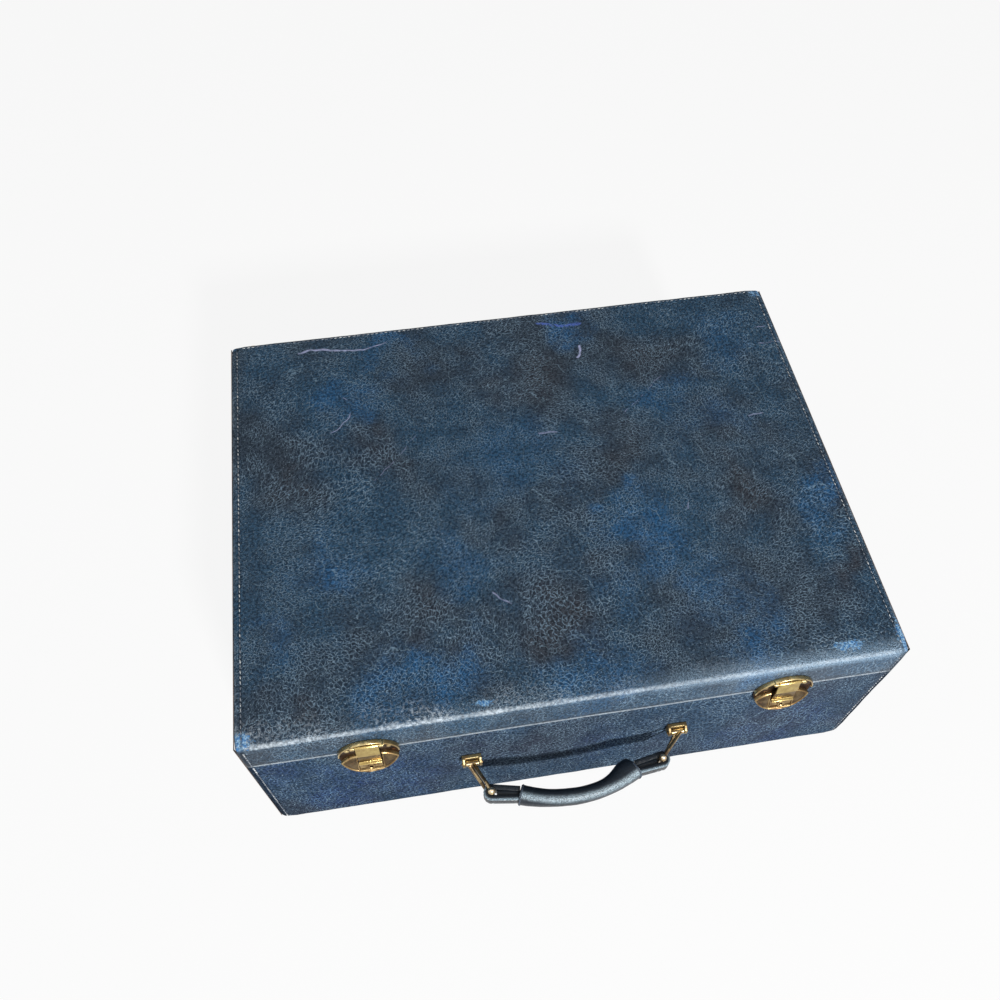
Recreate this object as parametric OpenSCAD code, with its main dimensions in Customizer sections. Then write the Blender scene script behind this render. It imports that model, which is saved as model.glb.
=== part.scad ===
// A small hard travel case: a leather covered board box with a hinged lid, two round
// snap locks, a bailed handle, two slotted lid stays and domed feet on its back wall.
// Millimetres, +Z up. The origin is the centre of the underside. The front faces -Y.

/* [Case] */
// Width of the closed case
case_w = 410; // [320:1:520]
// Depth of the closed case, front face to back face
case_d = 311; // [260:1:400]
// Height of the closed case
case_h = 151; // [130:1:190]
// Height of the lid, top face to split line
lid_h = 31; // [29:0.5:40]
// Gap between the two rims when the case is shut
seam_gap = 0.4; // [0.3:0.05:0.8]
// Radius of the covered outer edges
edge_r = 3; // [2.5:0.1:4]
// Thickness of the leather cover
leather_t = 1.4; // [1:0.1:1.8]
// Thickness of the board walls
board_t = 4.6; // [4:0.1:6]
// Thickness of the lining
lining_t = 0.8; // [0.5:0.1:1.2]
// Thickness of the leather turned over each rim
binding_t = 1; // [0.6:0.1:1.4]

/* [Back hinges] */
// Distance of each hinge's middle from the side of the case
hinge_inset = 93; // [80:1:115]
// Length of each hinge
hinge_len = 46; // [36:1:60]
// Radius of the hinge barrel
hinge_r = 2.6; // [2.2:0.1:3.2]
// Radius of the hinge pin
hinge_pin_r = 1.2; // [1:0.1:1.4]
// Height of each hinge leaf
leaf_h = 19; // [16:1:22]
// Thickness of the hinge leaves
leaf_t = 1.2; // [0.8:0.1:1.4]

/* [Feet] */
// Radius of the domed feet
foot_r = 7.5; // [5:0.5:9]
// Distance of the feet from the side walls
foot_inset = 15; // [11:1:24]

/* [Locks] */
// Distance of each lock's middle from the side of the case
lock_inset = 74.5; // [60:0.5:85]
// Radius of the round lock
lock_r = 18.75; // [17.5:0.25:21]
// How far the lower half stands out at the split line
lock_top_out = 2.6; // [2.4:0.1:3.2]
// Slope of the lower half's face, out towards its bottom
lock_tilt = 15.5; // [13:0.5:18]
// Thickness of the plate on the lid
lid_plate_t = 1.2; // [0.8:0.1:1.4]
// Width of the hasp
hasp_w = 14; // [12:0.5:15]
// Thickness of the hasp
hasp_t = 1.3; // [1:0.1:1.5]
// Height of the hasp's pin above the split line
hasp_pin_z = 15; // [14:0.25:15.5]
// Radius of the hasp's pin
hasp_pin_r = 0.65; // [0.5:0.05:0.7]
// Travel of the lock's slide
slide_travel = 2; // [1.5:0.25:2.25]

/* [Handle] */
// Distance of each handle bracket from the middle of the case
bracket_x = 68.5; // [60:0.5:80]
// Height of the handle above the underside
handle_z = 76.5; // [60:0.5:85]
// Width of a bracket
bracket_w = 13; // [12.5:0.5:16]
// Height of a bracket
bracket_h = 10; // [8:0.5:12]
// Thickness of a bracket's block, behind its ears
block_t = 2.6; // [2:0.1:2.7]
// Thickness of a bracket's two ears
ear_t = 1.8; // [1.4:0.1:1.9]
// Radius of the pin through a bracket
bracket_pin_r = 1.1; // [0.9:0.1:1.2]
// Distance between the two pins of a link
link_len = 24; // [20:0.5:28]
// Radius of a link's two round legs
leg_r = 1.2; // [1:0.05:1.25]
// Inward lean of the left link
splay_left = 26; // [10:1:40]
// Inward lean of the right link
splay_right = 43; // [10:1:43]
// Radius of the pin at a link's outer end
eye_pin_r = 1.5; // [1.2:0.1:1.6]
// Width of the handle's leather strap
strap_w = 9; // [7:0.5:10]
// Thickness of the handle's leather strap
strap_t = 2.8; // [2:0.1:3]
// Thickness of the grip, back to front
grip_t = 12.4; // [11.5:0.2:14]
// Height of the grip
grip_h = 14.6; // [13:0.2:18]
// Thickness of the leather wrapped round the grip
wrap_t = 1.2; // [0.8:0.1:1.5]
// How far the grip bows out past the line of its two pins
grip_bow = 12.4; // [10:0.2:16]
// Length of the bare strap loop between a pin and the wrap
loop_len = 18; // [16:0.5:22]

/* [Lid stays] */
// Distance from the hinge line forward to the stay's pivot, as a share of the base's height
stay_share = 0.54; // [0.46:0.01:0.56]
// Height of the stay's pivot above the split, and depth of its stud below it
stay_rise = 10; // [8:0.5:13]
// Width of the stay arm
stay_w = 9.6; // [9:0.2:11]
// Thickness of the stay arm
stay_t = 1.6; // [1.2:0.1:2]
// Radius of the stay's pivot and stud
stay_post_r = 2; // [1.6:0.1:2.2]
// Greatest opening of the lid that the stay's slot allows
lid_open = 98; // [80:1:100]

/* [Hidden] */
$fn = 48;
running_fit = 0.05;
loose_gap = 0.35;
bore_len = 80;
over = 1;
head_t = 0.8;
pin_show = 0.5;
flank_inset = 0.02;

split_z = case_h - lid_h;
base_rim_z = split_z - seam_gap / 2;
lid_rim_z = split_z + seam_gap / 2;
front_y = -case_d / 2;
back_y = case_d / 2;
cover_in_r = max(edge_r - leather_t, 0.5);
corner_cut = cover_in_r * sqrt(2);
wall_t = leather_t + board_t + lining_t;
inner_w = case_w - 2 * wall_t;
inner_d = case_d - 2 * wall_t;

hinge_x = case_w / 2 - hinge_inset;
hinge_y = back_y + hinge_r + 0.3;
knuckle_gap = 0.3;
knuckle_len = (hinge_len - 2 * knuckle_gap) / 3;
leaf_clear = hinge_r + 0.6;
leaf_rivet_r = 1.1;
leaf_rivet_head_r = 2.2;
leaf_rivet_pitch = hinge_len / 3;

foot_z_lid = case_h - foot_r - 5;
foot_z_base = foot_r + 6.5;
foot_pin_r = 1.2;
foot_pin_len = leather_t + board_t * 0.6;

lock_x = case_w / 2 - lock_inset;
channel_w = hasp_w + 2 * loose_gap;
channel_floor = 1.4;
channel_end = -(lock_r - 2.35);
hasp_barrel_r = hasp_pin_r + 0.65;
hasp_pin_out = lid_plate_t + loose_gap + hasp_barrel_r;
hasp_lug_w = 2.6;
knee_z = 3;
knee_out = 5;
hasp_end_z = -6.5;
hasp_end_out = 5.6;
hasp_lip = 0.9;
hook_w = 6;
hook_h = 3;
hook_z = -4.5;
hook_out = channel_floor + 0.8;
slide_top_z = hasp_end_z - hasp_t - 0.5;
slide_bottom_z = channel_end + slide_travel + 0.4;
slide_recess = 0.35;
slide_back = channel_floor + loose_gap;
spring_r = 1.4;
spring_wire = 0.5;
spring_clear = 0.2;
keyhole_depth_left = 0.6;
spring_out = 3.6;
spring_top_z = slide_top_z - 1.6;
keyhole_z = (slide_top_z + slide_bottom_z) / 2;
keyhole_r = 0.9;
escutcheon_r = 2.7;
lock_rivet_r = 1.2;
lock_rivet_x = 11.5;
lock_rivet_z = -8.5;
lock_rivet_depth = 1.6;
lock_plate_w = 32;
lock_plate_h = 12;
lock_plate_t = 1.2;
lid_rivet_x = 12.6;
lid_rivet_z = 6.6;
lid_rivet_r = 0.9;
lid_rivet_head_r = 1.6;

ear_r = bracket_pin_r + 1.1;
link_eye_r = bracket_pin_r + 0.85;
bracket_pin_out = max(block_t, link_eye_r) + 1.7;
bracket_slot_w = bracket_w - 2 * ear_t;
bracket_slot_back = bracket_pin_out - link_eye_r - loose_gap;
bracket_post_r = 2;
back_plate_w = 24;
back_plate_h = 14;
back_plate_t = 1.2;
link_eye_len = bracket_slot_w - 2 * loose_gap;
leg_spread = 1.5;
leg_shift = 1.2;
eye_ring_r = eye_pin_r + 1;
eye_ring_t = 2 * leg_r + 0.4;
eye_ring_z = strap_w / 2 + loose_gap + eye_ring_t / 2;

bracket_pin_y = front_y - bracket_pin_out;
leg_x = bracket_x + leg_shift;
pin_left = [-leg_x + link_len * sin(splay_left), bracket_pin_y - link_len * cos(splay_left)];
pin_right = [leg_x - link_len * sin(splay_right), bracket_pin_y - link_len * cos(splay_right)];
chord = pin_right - pin_left;
chord_len = norm(chord);
chord_angle = atan2(chord[1], chord[0]);
chord_mid = (pin_left + pin_right) / 2;
grip_half = chord_len / 2 - loop_len;
grip_end_out = grip_bow * 0.32;
grip_sag = grip_bow - grip_end_out;
grip_arc_r = (grip_half * grip_half + grip_sag * grip_sag) / (2 * grip_sag);
grip_arc_half = asin(grip_half / grip_arc_r);
grip_cap = (grip_h - grip_t) / 2;
fold_r = eye_pin_r + strap_t + 0.7;
link_knee = fold_r + leg_r + 0.8;
knee_r = leg_r * 1.25;
knee_cut = leg_r / 2;
eye_hole_r = eye_pin_r + 0.7;
band_w = strap_w - 1;
loop_end_r = grip_t / 2 - wrap_t - 0.2;
loop_root = 1.5;
loop_root_solid = 3.5;
loop_end_x = grip_half + loop_root * cos(grip_arc_half);
loop_end_out = grip_end_out - loop_root * sin(grip_arc_half);
loop_hole_end_r = 1.2;
loop_hole_share = 1 - loop_root_solid / (chord_len / 2 - loop_end_x);

stay_forward = stay_share * split_z;
stay_reach = norm([stay_forward, stay_rise]);
stay_shut_angle = 2 * atan(stay_rise / stay_forward);
stay_slot_near = 2 * stay_rise;
stay_slot_far = 2 * stay_reach * sin((lid_open + stay_shut_angle) / 2);
stay_slot_r = stay_post_r + 0.3;
stay_x = inner_w / 2;
stay_plate_t = 1.5;
stay_plate_h = 13;
stay_plate_w = 16;
stay_gap = 0.8;
stay_y = hinge_y - stay_forward;
stay_head_r = stay_slot_r + 1.4;
stay_post_len = stay_plate_t + 2 * stay_gap + stay_t;
stay_head_t = 1;

leather = [0.16, 0.22, 0.31];
raw_leather = [0.33, 0.24, 0.19];
brass = [0.72, 0.58, 0.3];
old_brass = [0.6, 0.47, 0.25];
steel = [0.62, 0.62, 0.6];
board = [0.68, 0.54, 0.36];
lining = [0.74, 0.68, 0.56];

// A shaft along X, centred on the origin
module x_rod(r, len) {
    rotate([0, 90, 0]) cylinder(r = r, h = len, center = true);
}

// A shaft along Y from y0 to y1
module y_rod(r, y0, y1) {
    translate([0, y1, 0]) rotate([90, 0, 0]) cylinder(r = r, h = y1 - y0);
}

// A round bar between two points
module bar(p, q, r) {
    v = q - p;
    translate(p)
        rotate([0, acos(v[2] / norm(v)), atan2(v[1], v[0])])
            cylinder(r = r, h = norm(v));
}

// The outline round two circles, with straight flanks that start just inside them
module capsule(p, rp, q, rq) {
    v = q - p;
    a = atan2(v[1], v[0]);
    b = acos((rp - rq) / norm(v));
    pr = rp - flank_inset;
    qr = rq - flank_inset;
    translate(p) circle(r = rp);
    translate(q) circle(r = rq);
    polygon([
        p + pr * [cos(a + b), sin(a + b)],
        q + qr * [cos(a + b), sin(a + b)],
        q + qr * [cos(a - b), sin(a - b)],
        p + pr * [cos(a - b), sin(a - b)]
    ]);
}

// A block standing on its rounded bottom edges, with rounded upright corners
module tray(w, d, h, r) {
    sx = w / 2 - r;
    sy = d / 2 - r;
    translate([-sx, -d / 2, r]) cube([2 * sx, d, h - r]);
    translate([-w / 2, -sy, r]) cube([w, 2 * sy, h - r]);
    translate([-sx, -sy, 0]) cube([2 * sx, 2 * sy, h]);
    for (x = [-sx, sx]) {
        for (y = [-sy, sy]) translate([x, y, r]) {
            cylinder(r = r, h = h - r);
            sphere(r = r);
        }
        translate([x, 0, r]) rotate([90, 0, 0]) cylinder(r = r, h = 2 * sy, center = true);
    }
    for (y = [-sy, sy]) translate([0, y, r]) x_rod(r, 2 * sx);
}

// A plain block that runs over its open end
module cavity(w, d, h) {
    translate([-w / 2, -d / 2, 0]) cube([w, d, h]);
}

// Stands a lid piece, drawn as a tray, upside down on the top of the case
module as_lid() {
    translate([0, 0, case_h]) mirror([0, 0, 1]) children();
}

// Frames of reference for the fittings
module at_lock(side) {
    translate([side * lock_x, front_y, split_z]) children();
}

module at_bracket(side) {
    translate([side * bracket_x, front_y, handle_z]) children();
}

module at_hinge(side) {
    translate([side * hinge_x, hinge_y, split_z]) children();
}

module at_stay(side, up) {
    translate([side * stay_x, stay_y, split_z + up * stay_rise]) children();
}

module at_handle() {
    translate([chord_mid[0], chord_mid[1], handle_z]) rotate([0, 0, chord_angle]) children();
}

// The holes that the fittings' shanks need in the walls of the base
module base_wall_holes() {
    for (side = [-1, 1]) {
        at_lock(side) for (x = [-lock_rivet_x, lock_rivet_x])
            translate([x, 0, lock_rivet_z]) y_rod(lock_rivet_r + running_fit, -over, wall_t + over);
        at_bracket(side) y_rod(bracket_post_r + running_fit, -over, wall_t + over);
        at_hinge(side) for (x = [-leaf_rivet_pitch, 0, leaf_rivet_pitch])
            translate([x, back_y - hinge_y, -leaf_clear - leaf_h / 2])
                y_rod(leaf_rivet_r + running_fit, -wall_t - over, over);
        translate([side * (case_w / 2 - foot_inset), back_y, foot_z_base])
            y_rod(foot_pin_r + running_fit, -foot_pin_len, over);
    }
}

// The holes that the fittings' shanks need in the walls of the lid
module lid_wall_holes() {
    for (side = [-1, 1]) {
        at_lock(side) for (x = [-lid_rivet_x, lid_rivet_x])
            translate([x, 0, lid_rivet_z]) y_rod(lid_rivet_r + running_fit, -over, wall_t + over);
        at_hinge(side) for (x = [-leaf_rivet_pitch, 0, leaf_rivet_pitch])
            translate([x, back_y - hinge_y, leaf_clear + leaf_h / 2])
                y_rod(leaf_rivet_r + running_fit, -wall_t - over, over);
        translate([side * (case_w / 2 - foot_inset), back_y, foot_z_lid])
            y_rod(foot_pin_r + running_fit, -foot_pin_len, over);
    }
}

// Base of the case
module base_cover() {
    color(leather) difference() {
        tray(case_w, case_d, base_rim_z, edge_r);
        translate([0, 0, leather_t])
            tray(case_w - 2 * leather_t, case_d - 2 * leather_t, case_h, cover_in_r);
        base_wall_holes();
    }
}

module base_board() {
    color(board) difference() {
        translate([0, 0, leather_t])
            tray(case_w - 2 * leather_t, case_d - 2 * leather_t,
                 base_rim_z - leather_t - binding_t, cover_in_r);
        translate([0, 0, leather_t + board_t])
            cavity(inner_w + 2 * lining_t, inner_d + 2 * lining_t, case_h);
        base_wall_holes();
    }
}

module base_lining() {
    color(lining) difference() {
        translate([0, 0, leather_t + board_t])
            cavity(inner_w + 2 * lining_t, inner_d + 2 * lining_t,
                   base_rim_z - leather_t - board_t - binding_t);
        translate([0, 0, wall_t]) cavity(inner_w, inner_d, case_h);
        base_wall_holes();
    }
}

// The leather turned over a rim, as a flat frame
module rim_frame(z) {
    difference() {
        translate([0, 0, z])
            cavity(case_w - 2 * leather_t, case_d - 2 * leather_t, binding_t);
        translate([0, 0, z - over]) cavity(inner_w, inner_d, binding_t + 2 * over);
        for (x = [-1, 1], y = [-1, 1])
            translate([x * (case_w / 2 - leather_t), y * (case_d / 2 - leather_t), z])
                rotate([0, 0, 45]) cube([corner_cut, corner_cut, 4 * binding_t], center = true);
    }
}

module base_binding() {
    color(leather) rim_frame(base_rim_z - binding_t);
}

module foot(z) {
    translate([0, back_y, z]) {
        intersection() {
            sphere(r = foot_r);
            translate([-foot_r, 0, -foot_r]) cube(2 * foot_r);
        }
        y_rod(foot_pin_r, -foot_pin_len, over);
    }
}

module feet(z) {
    color(brass) for (side = [-1, 1])
        translate([side * (case_w / 2 - foot_inset), 0, 0]) foot(z);
}

// Lid of the case
module lid_cover() {
    color(leather) difference() {
        as_lid() difference() {
            tray(case_w, case_d, case_h - lid_rim_z, edge_r);
            translate([0, 0, leather_t])
                tray(case_w - 2 * leather_t, case_d - 2 * leather_t, case_h, cover_in_r);
        }
        lid_wall_holes();
    }
}

module lid_board() {
    color(board) difference() {
        as_lid() difference() {
            translate([0, 0, leather_t])
                tray(case_w - 2 * leather_t, case_d - 2 * leather_t,
                     case_h - lid_rim_z - leather_t - binding_t, cover_in_r);
            translate([0, 0, leather_t + board_t])
                cavity(inner_w + 2 * lining_t, inner_d + 2 * lining_t, case_h);
        }
        lid_wall_holes();
    }
}

module lid_lining() {
    color(lining) difference() {
        as_lid() difference() {
            translate([0, 0, leather_t + board_t])
                cavity(inner_w + 2 * lining_t, inner_d + 2 * lining_t,
                       case_h - lid_rim_z - leather_t - board_t - binding_t);
            translate([0, 0, wall_t]) cavity(inner_w, inner_d, case_h);
        }
        lid_wall_holes();
    }
}

module lid_binding() {
    color(leather) rim_frame(lid_rim_z);
}

// A hinge leaf with its knuckles; up is 1 for the lid's leaf and -1 for the base's
module hinge_leaf(side, up) {
    centres = up > 0 ? [0] : [-knuckle_len - knuckle_gap, knuckle_len + knuckle_gap];
    leaf_y = back_y - hinge_y;
    color(brass) at_hinge(side) difference() {
        union() {
            translate([-hinge_len / 2, leaf_y, up > 0 ? leaf_clear : -leaf_clear - leaf_h])
                cube([hinge_len, leaf_t, leaf_h]);
            for (x = centres) translate([x, 0, 0]) {
                x_rod(hinge_r, knuckle_len);
                translate([-knuckle_len / 2, leaf_y, up > 0 ? 0 : -leaf_clear - over])
                    cube([knuckle_len, leaf_t, leaf_clear + over]);
            }
        }
        x_rod(hinge_pin_r + running_fit, bore_len);
        for (x = [-leaf_rivet_pitch, 0, leaf_rivet_pitch])
            translate([x, leaf_y, up * (leaf_clear + leaf_h / 2)])
                y_rod(leaf_rivet_r + running_fit, -over, leaf_t + over);
    }
}

module hinge_pin(side) {
    color(steel) at_hinge(side) x_rod(hinge_pin_r, hinge_len + 2 * pin_show);
}

// Three rivets through a leaf and the back wall
module leaf_rivets(up) {
    color(old_brass) for (side = [-1, 1]) at_hinge(side)
        for (x = [-leaf_rivet_pitch, 0, leaf_rivet_pitch])
            translate([x, back_y - hinge_y, up * (leaf_clear + leaf_h / 2)]) {
                y_rod(leaf_rivet_r, -wall_t - head_t, leaf_t + head_t);
                y_rod(leaf_rivet_head_r, leaf_t, leaf_t + head_t);
                y_rod(leaf_rivet_head_r, -wall_t - head_t, -wall_t);
            }
}

// Space in front of the lock's sloping face, moved out by a little
module before_face(out) {
    translate([0, -lock_top_out - out, 0]) rotate([-lock_tilt, 0, 0])
        translate([-bore_len / 2, -bore_len, -bore_len / 2]) cube(bore_len);
}

// The lower, fixed half of a lock
module lock_body(side) {
    color(old_brass) at_lock(side) difference() {
        y_rod(lock_r, -3 * lock_top_out - lock_r * sin(lock_tilt), 0);
        translate([-bore_len / 2, -bore_len / 2, -seam_gap]) cube(bore_len);
        before_face(0);
        translate([-channel_w / 2, -bore_len - channel_floor, channel_end])
            cube([channel_w, bore_len, bore_len]);
        for (x = [-lock_rivet_x, lock_rivet_x])
            translate([x, 0, lock_rivet_z])
                y_rod(lock_rivet_r + running_fit, -lock_rivet_depth, over);
    }
}

// The sliding catch with its keyhole, which draws down to free the hasp
module lock_slide(side) {
    slide_w = channel_w - 2 * loose_gap;
    pocket = 2 * (spring_r + spring_clear);
    keyhole_end = spring_out + spring_r + keyhole_depth_left;
    color(brass) at_lock(side) difference() {
        intersection() {
            translate([-slide_w / 2, -bore_len, slide_bottom_z])
                cube([slide_w, bore_len - slide_back, slide_top_z - slide_bottom_z]);
            union() {
                difference() {
                    translate([-bore_len / 2, -bore_len / 2, -bore_len / 2]) cube(bore_len);
                    before_face(-slide_recess);
                }
                translate([0, 0, keyhole_z]) y_rod(escutcheon_r, -lock_r, 0);
            }
            difference() {
                translate([-bore_len / 2, -bore_len / 2, -bore_len / 2]) cube(bore_len);
                before_face(slide_recess);
            }
        }
        translate([0, 0, keyhole_z]) {
            y_rod(keyhole_r, -lock_r, -keyhole_end);
            translate([-keyhole_r / 2, -lock_r, -2 * keyhole_r])
                cube([keyhole_r, lock_r - keyhole_end, 2 * keyhole_r]);
        }
        translate([-pocket / 2, -spring_out - pocket / 2, slide_bottom_z - over])
            cube([pocket, pocket, spring_top_z - slide_bottom_z + over]);
    }
}

// The spring that lifts the slide, as a sleeve of its outer size
module lock_spring(side) {
    color(steel) at_lock(side) translate([0, -spring_out, channel_end]) difference() {
        cylinder(r = spring_r, h = spring_top_z - channel_end);
        translate([0, 0, -over]) cylinder(r = spring_r - spring_wire, h = bore_len);
    }
}

// Plates behind the front wall that the locks' rivets close on
module lock_back_plates() {
    color(steel) for (side = [-1, 1]) at_lock(side) difference() {
        translate([-lock_plate_w / 2, wall_t, lock_rivet_z - lock_plate_h / 2])
            cube([lock_plate_w, lock_plate_t, lock_plate_h]);
        for (x = [-lock_rivet_x, lock_rivet_x]) translate([x, 0, lock_rivet_z])
            y_rod(lock_rivet_r + running_fit, 0, wall_t + lock_plate_t + over);
    }
}

module lock_rivets() {
    inside = wall_t + lock_plate_t;
    color(steel) for (side = [-1, 1]) at_lock(side)
        for (x = [-lock_rivet_x, lock_rivet_x]) translate([x, 0, lock_rivet_z]) {
            y_rod(lock_rivet_r, -lock_rivet_depth, inside + head_t);
            y_rod(2 * lock_rivet_r, inside, inside + head_t);
        }
}

// The upper half of a lock: a round plate on the lid with two lugs for the hasp's pin
module lid_plate(side) {
    lug_x = hasp_w / 2 + loose_gap;
    color(old_brass) at_lock(side) difference() {
        union() {
            intersection() {
                y_rod(lock_r, -lid_plate_t, 0);
                translate([-bore_len / 2, -bore_len / 2, seam_gap]) cube(bore_len);
            }
            for (x = [-lug_x - hasp_lug_w, lug_x]) {
                translate([x + hasp_lug_w / 2, -hasp_pin_out, hasp_pin_z])
                    x_rod(hasp_barrel_r, hasp_lug_w);
                translate([x, -hasp_pin_out, hasp_pin_z - hasp_barrel_r])
                    cube([hasp_lug_w, hasp_pin_out, 2 * hasp_barrel_r]);
            }
        }
        translate([0, -hasp_pin_out, hasp_pin_z]) x_rod(hasp_pin_r + running_fit, bore_len);
        for (x = [-lid_rivet_x, lid_rivet_x])
            translate([x, 0, lid_rivet_z]) y_rod(lid_rivet_r + running_fit, -bore_len, over);
    }
}

module lid_plate_rivets() {
    color(brass) for (side = [-1, 1]) at_lock(side)
        for (x = [-lid_rivet_x, lid_rivet_x]) translate([x, 0, lid_rivet_z]) {
            y_rod(lid_rivet_r, -lid_plate_t - head_t, wall_t + head_t);
            y_rod(lid_rivet_head_r, -lid_plate_t - head_t, -lid_plate_t);
            y_rod(lid_rivet_head_r, wall_t, wall_t + head_t);
        }
}

// The hasp's side outline, as [out, height]: a sloping panel, a knee and a lip
module hasp_profile() {
    polygon([
        [hasp_pin_out, hasp_pin_z + hasp_barrel_r],
        [knee_out, knee_z],
        [hasp_end_out, hasp_end_z],
        [hasp_end_out + hasp_lip, hasp_end_z],
        [hasp_end_out + hasp_lip, hasp_end_z - hasp_t],
        [hasp_end_out - hasp_t, hasp_end_z - hasp_t],
        [knee_out - hasp_t, knee_z],
        [hasp_pin_out, hasp_pin_z - hasp_barrel_r]
    ]);
}

module hasp(side) {
    color(brass) at_lock(side) difference() {
        union() {
            translate([-hasp_w / 2, 0, 0]) rotate([90, 0, 90])
                linear_extrude(height = hasp_w) mirror([1, 0]) hasp_profile();
            translate([0, -hasp_pin_out, hasp_pin_z]) x_rod(hasp_barrel_r, hasp_w);
            translate([-hook_w / 2, -hasp_end_out + hasp_t / 2, hook_z])
                cube([hook_w, hasp_end_out - hasp_t / 2 - hook_out, hook_h]);
        }
        translate([0, -hasp_pin_out, hasp_pin_z]) x_rod(hasp_pin_r + running_fit, bore_len);
    }
}

module hasp_pin(side) {
    color(brass) at_lock(side) translate([0, -hasp_pin_out, hasp_pin_z])
        x_rod(hasp_pin_r, hasp_w + 2 * (hasp_lug_w + loose_gap + pin_show));
}

// A handle bracket: a block with two bored ears and a post through the front wall
module handle_bracket(side) {
    color(brass) at_bracket(side) difference() {
        union() {
            translate([-bracket_w / 2, -block_t, -bracket_h / 2])
                cube([bracket_w, block_t, bracket_h]);
            y_rod(bracket_post_r, -over, wall_t + back_plate_t + head_t);
            translate([0, -bracket_pin_out, 0]) x_rod(ear_r, bracket_w);
            translate([-bracket_w / 2, -bracket_pin_out, -ear_r])
                cube([bracket_w, bracket_pin_out, 2 * ear_r]);
        }
        translate([-bracket_slot_w / 2, -bore_len - bracket_slot_back, -bore_len / 2])
            cube([bracket_slot_w, bore_len, bore_len]);
        translate([0, -bracket_pin_out, 0]) x_rod(bracket_pin_r + running_fit, bore_len);
    }
}

module bracket_pin(side) {
    color(old_brass) at_bracket(side) translate([0, -bracket_pin_out, 0])
        x_rod(bracket_pin_r, bracket_w + 2 * pin_show);
}

module bracket_back_plates() {
    color(steel) for (side = [-1, 1]) at_bracket(side) difference() {
        translate([-back_plate_w / 2, wall_t, -back_plate_h / 2])
            cube([back_plate_w, back_plate_t, back_plate_h]);
        y_rod(bracket_post_r + running_fit, 0, wall_t + back_plate_t + over);
    }
}

// A handle link: an eye on the bracket's pin and two legs that part to hold the outer pin
module handle_link(side, end) {
    color(brass) difference() {
        union() {
            translate([side * bracket_x, bracket_pin_y, handle_z]) x_rod(link_eye_r, link_eye_len);
            for (up = [-1, 1]) {
                root = [side * leg_x + up * leg_spread, bracket_pin_y, handle_z];
                eye = [end[0], end[1], handle_z + up * eye_ring_z];
                level = [root[0], root[1], eye[2]];
                knee = eye + (level - eye) * link_knee / link_len;
                bar(root, knee + (root - knee) * knee_cut / norm(root - knee), leg_r);
                bar(knee + (eye - knee) * knee_cut / norm(eye - knee), eye, leg_r);
                translate(knee) cylinder(r = knee_r, h = eye_ring_t, center = true);
                translate(eye) cylinder(r = eye_ring_r, h = eye_ring_t, center = true);
            }
        }
        translate([side * bracket_x, bracket_pin_y, handle_z])
            x_rod(bracket_pin_r + running_fit, bore_len / 4);
        translate([end[0], end[1], handle_z])
            cylinder(r = eye_pin_r + running_fit, h = bore_len, center = true);
    }
}

module link_pins() {
    half = eye_ring_z + eye_ring_t / 2;
    color(brass) for (p = [pin_left, pin_right]) translate([p[0], p[1], handle_z]) {
        cylinder(r = eye_pin_r, h = 2 * half, center = true);
        translate([0, 0, half]) intersection() {
            sphere(r = eye_ring_r);
            translate([-eye_ring_r, -eye_ring_r, 0]) cube(2 * eye_ring_r);
        }
    }
}

// Sweeps an outline along the grip's bow; the outline's X is the radius, its Y the height
module along_grip(half_angle) {
    translate([0, grip_arc_r - grip_bow, 0]) rotate([0, 0, -90 - half_angle])
        rotate_extrude(angle = 2 * half_angle, $fn = 180) children();
}

// The cross-section of the grip, drawn smaller by an inset
module grip_section(inset) {
    r = grip_t / 2 - inset;
    translate([grip_arc_r, 0]) {
        for (y = [-grip_cap, grip_cap]) translate([0, y]) circle(r = r);
        square([2 * r, 2 * grip_cap], center = true);
    }
}

// A strap that runs through the grip and returns round each pin as a loop
module handle_strap() {
    color(leather) at_handle() {
        difference() {
            union() {
                for (side = [-1, 1]) strap_loop(side);
                along_grip(grip_arc_half)
                    translate([grip_arc_r, 0]) square([strap_t, band_w], center = true);
            }
            for (side = [-1, 1]) loop_hole(side);
        }
    }
}

module strap_loop(side) {
    translate([0, 0, -strap_w / 2]) linear_extrude(height = strap_w)
        capsule([side * chord_len / 2, 0], fold_r,
                [side * loop_end_x, -loop_end_out], loop_end_r);
}

module loop_hole(side) {
    translate([0, 0, -strap_w]) linear_extrude(height = 2 * strap_w)
        capsule([side * chord_len / 2, 0], eye_hole_r,
                [side * (loop_end_x + loop_root_solid), -loop_end_out * loop_hole_share], loop_hole_end_r);
}

module grip_core() {
    color(board) at_handle() difference() {
        along_grip(grip_arc_half) difference() {
            grip_section(wrap_t);
            translate([grip_arc_r, 0]) square([strap_t, band_w], center = true);
        }
        for (side = [-1, 1]) strap_loop(side);
    }
}

module grip_wrap() {
    color(leather) at_handle() along_grip(grip_arc_half) difference() {
        grip_section(0);
        grip_section(wrap_t);
    }
}

// A slotted arm that hangs from the lid; its slot rides on the stud of the base
module stay_arm(side) {
    arm_r = stay_w / 2;
    color(steel) at_stay(side, 1)
        translate([-side * (stay_plate_t + stay_gap + stay_t / 2), 0, 0]) difference() {
            union() {
                x_rod(arm_r, stay_t);
                translate([-stay_t / 2, -arm_r, -stay_slot_far]) cube([stay_t, stay_w, stay_slot_far]);
                translate([0, 0, -stay_slot_far]) x_rod(arm_r, stay_t);
            }
            x_rod(stay_post_r + running_fit, bore_len);
            translate([-stay_t, -stay_slot_r, -stay_slot_far])
                cube([2 * stay_t, 2 * stay_slot_r, stay_slot_far - stay_slot_near]);
            for (z = [-stay_slot_near, -stay_slot_far]) translate([0, 0, z]) x_rod(stay_slot_r, bore_len);
        }
}

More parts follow.
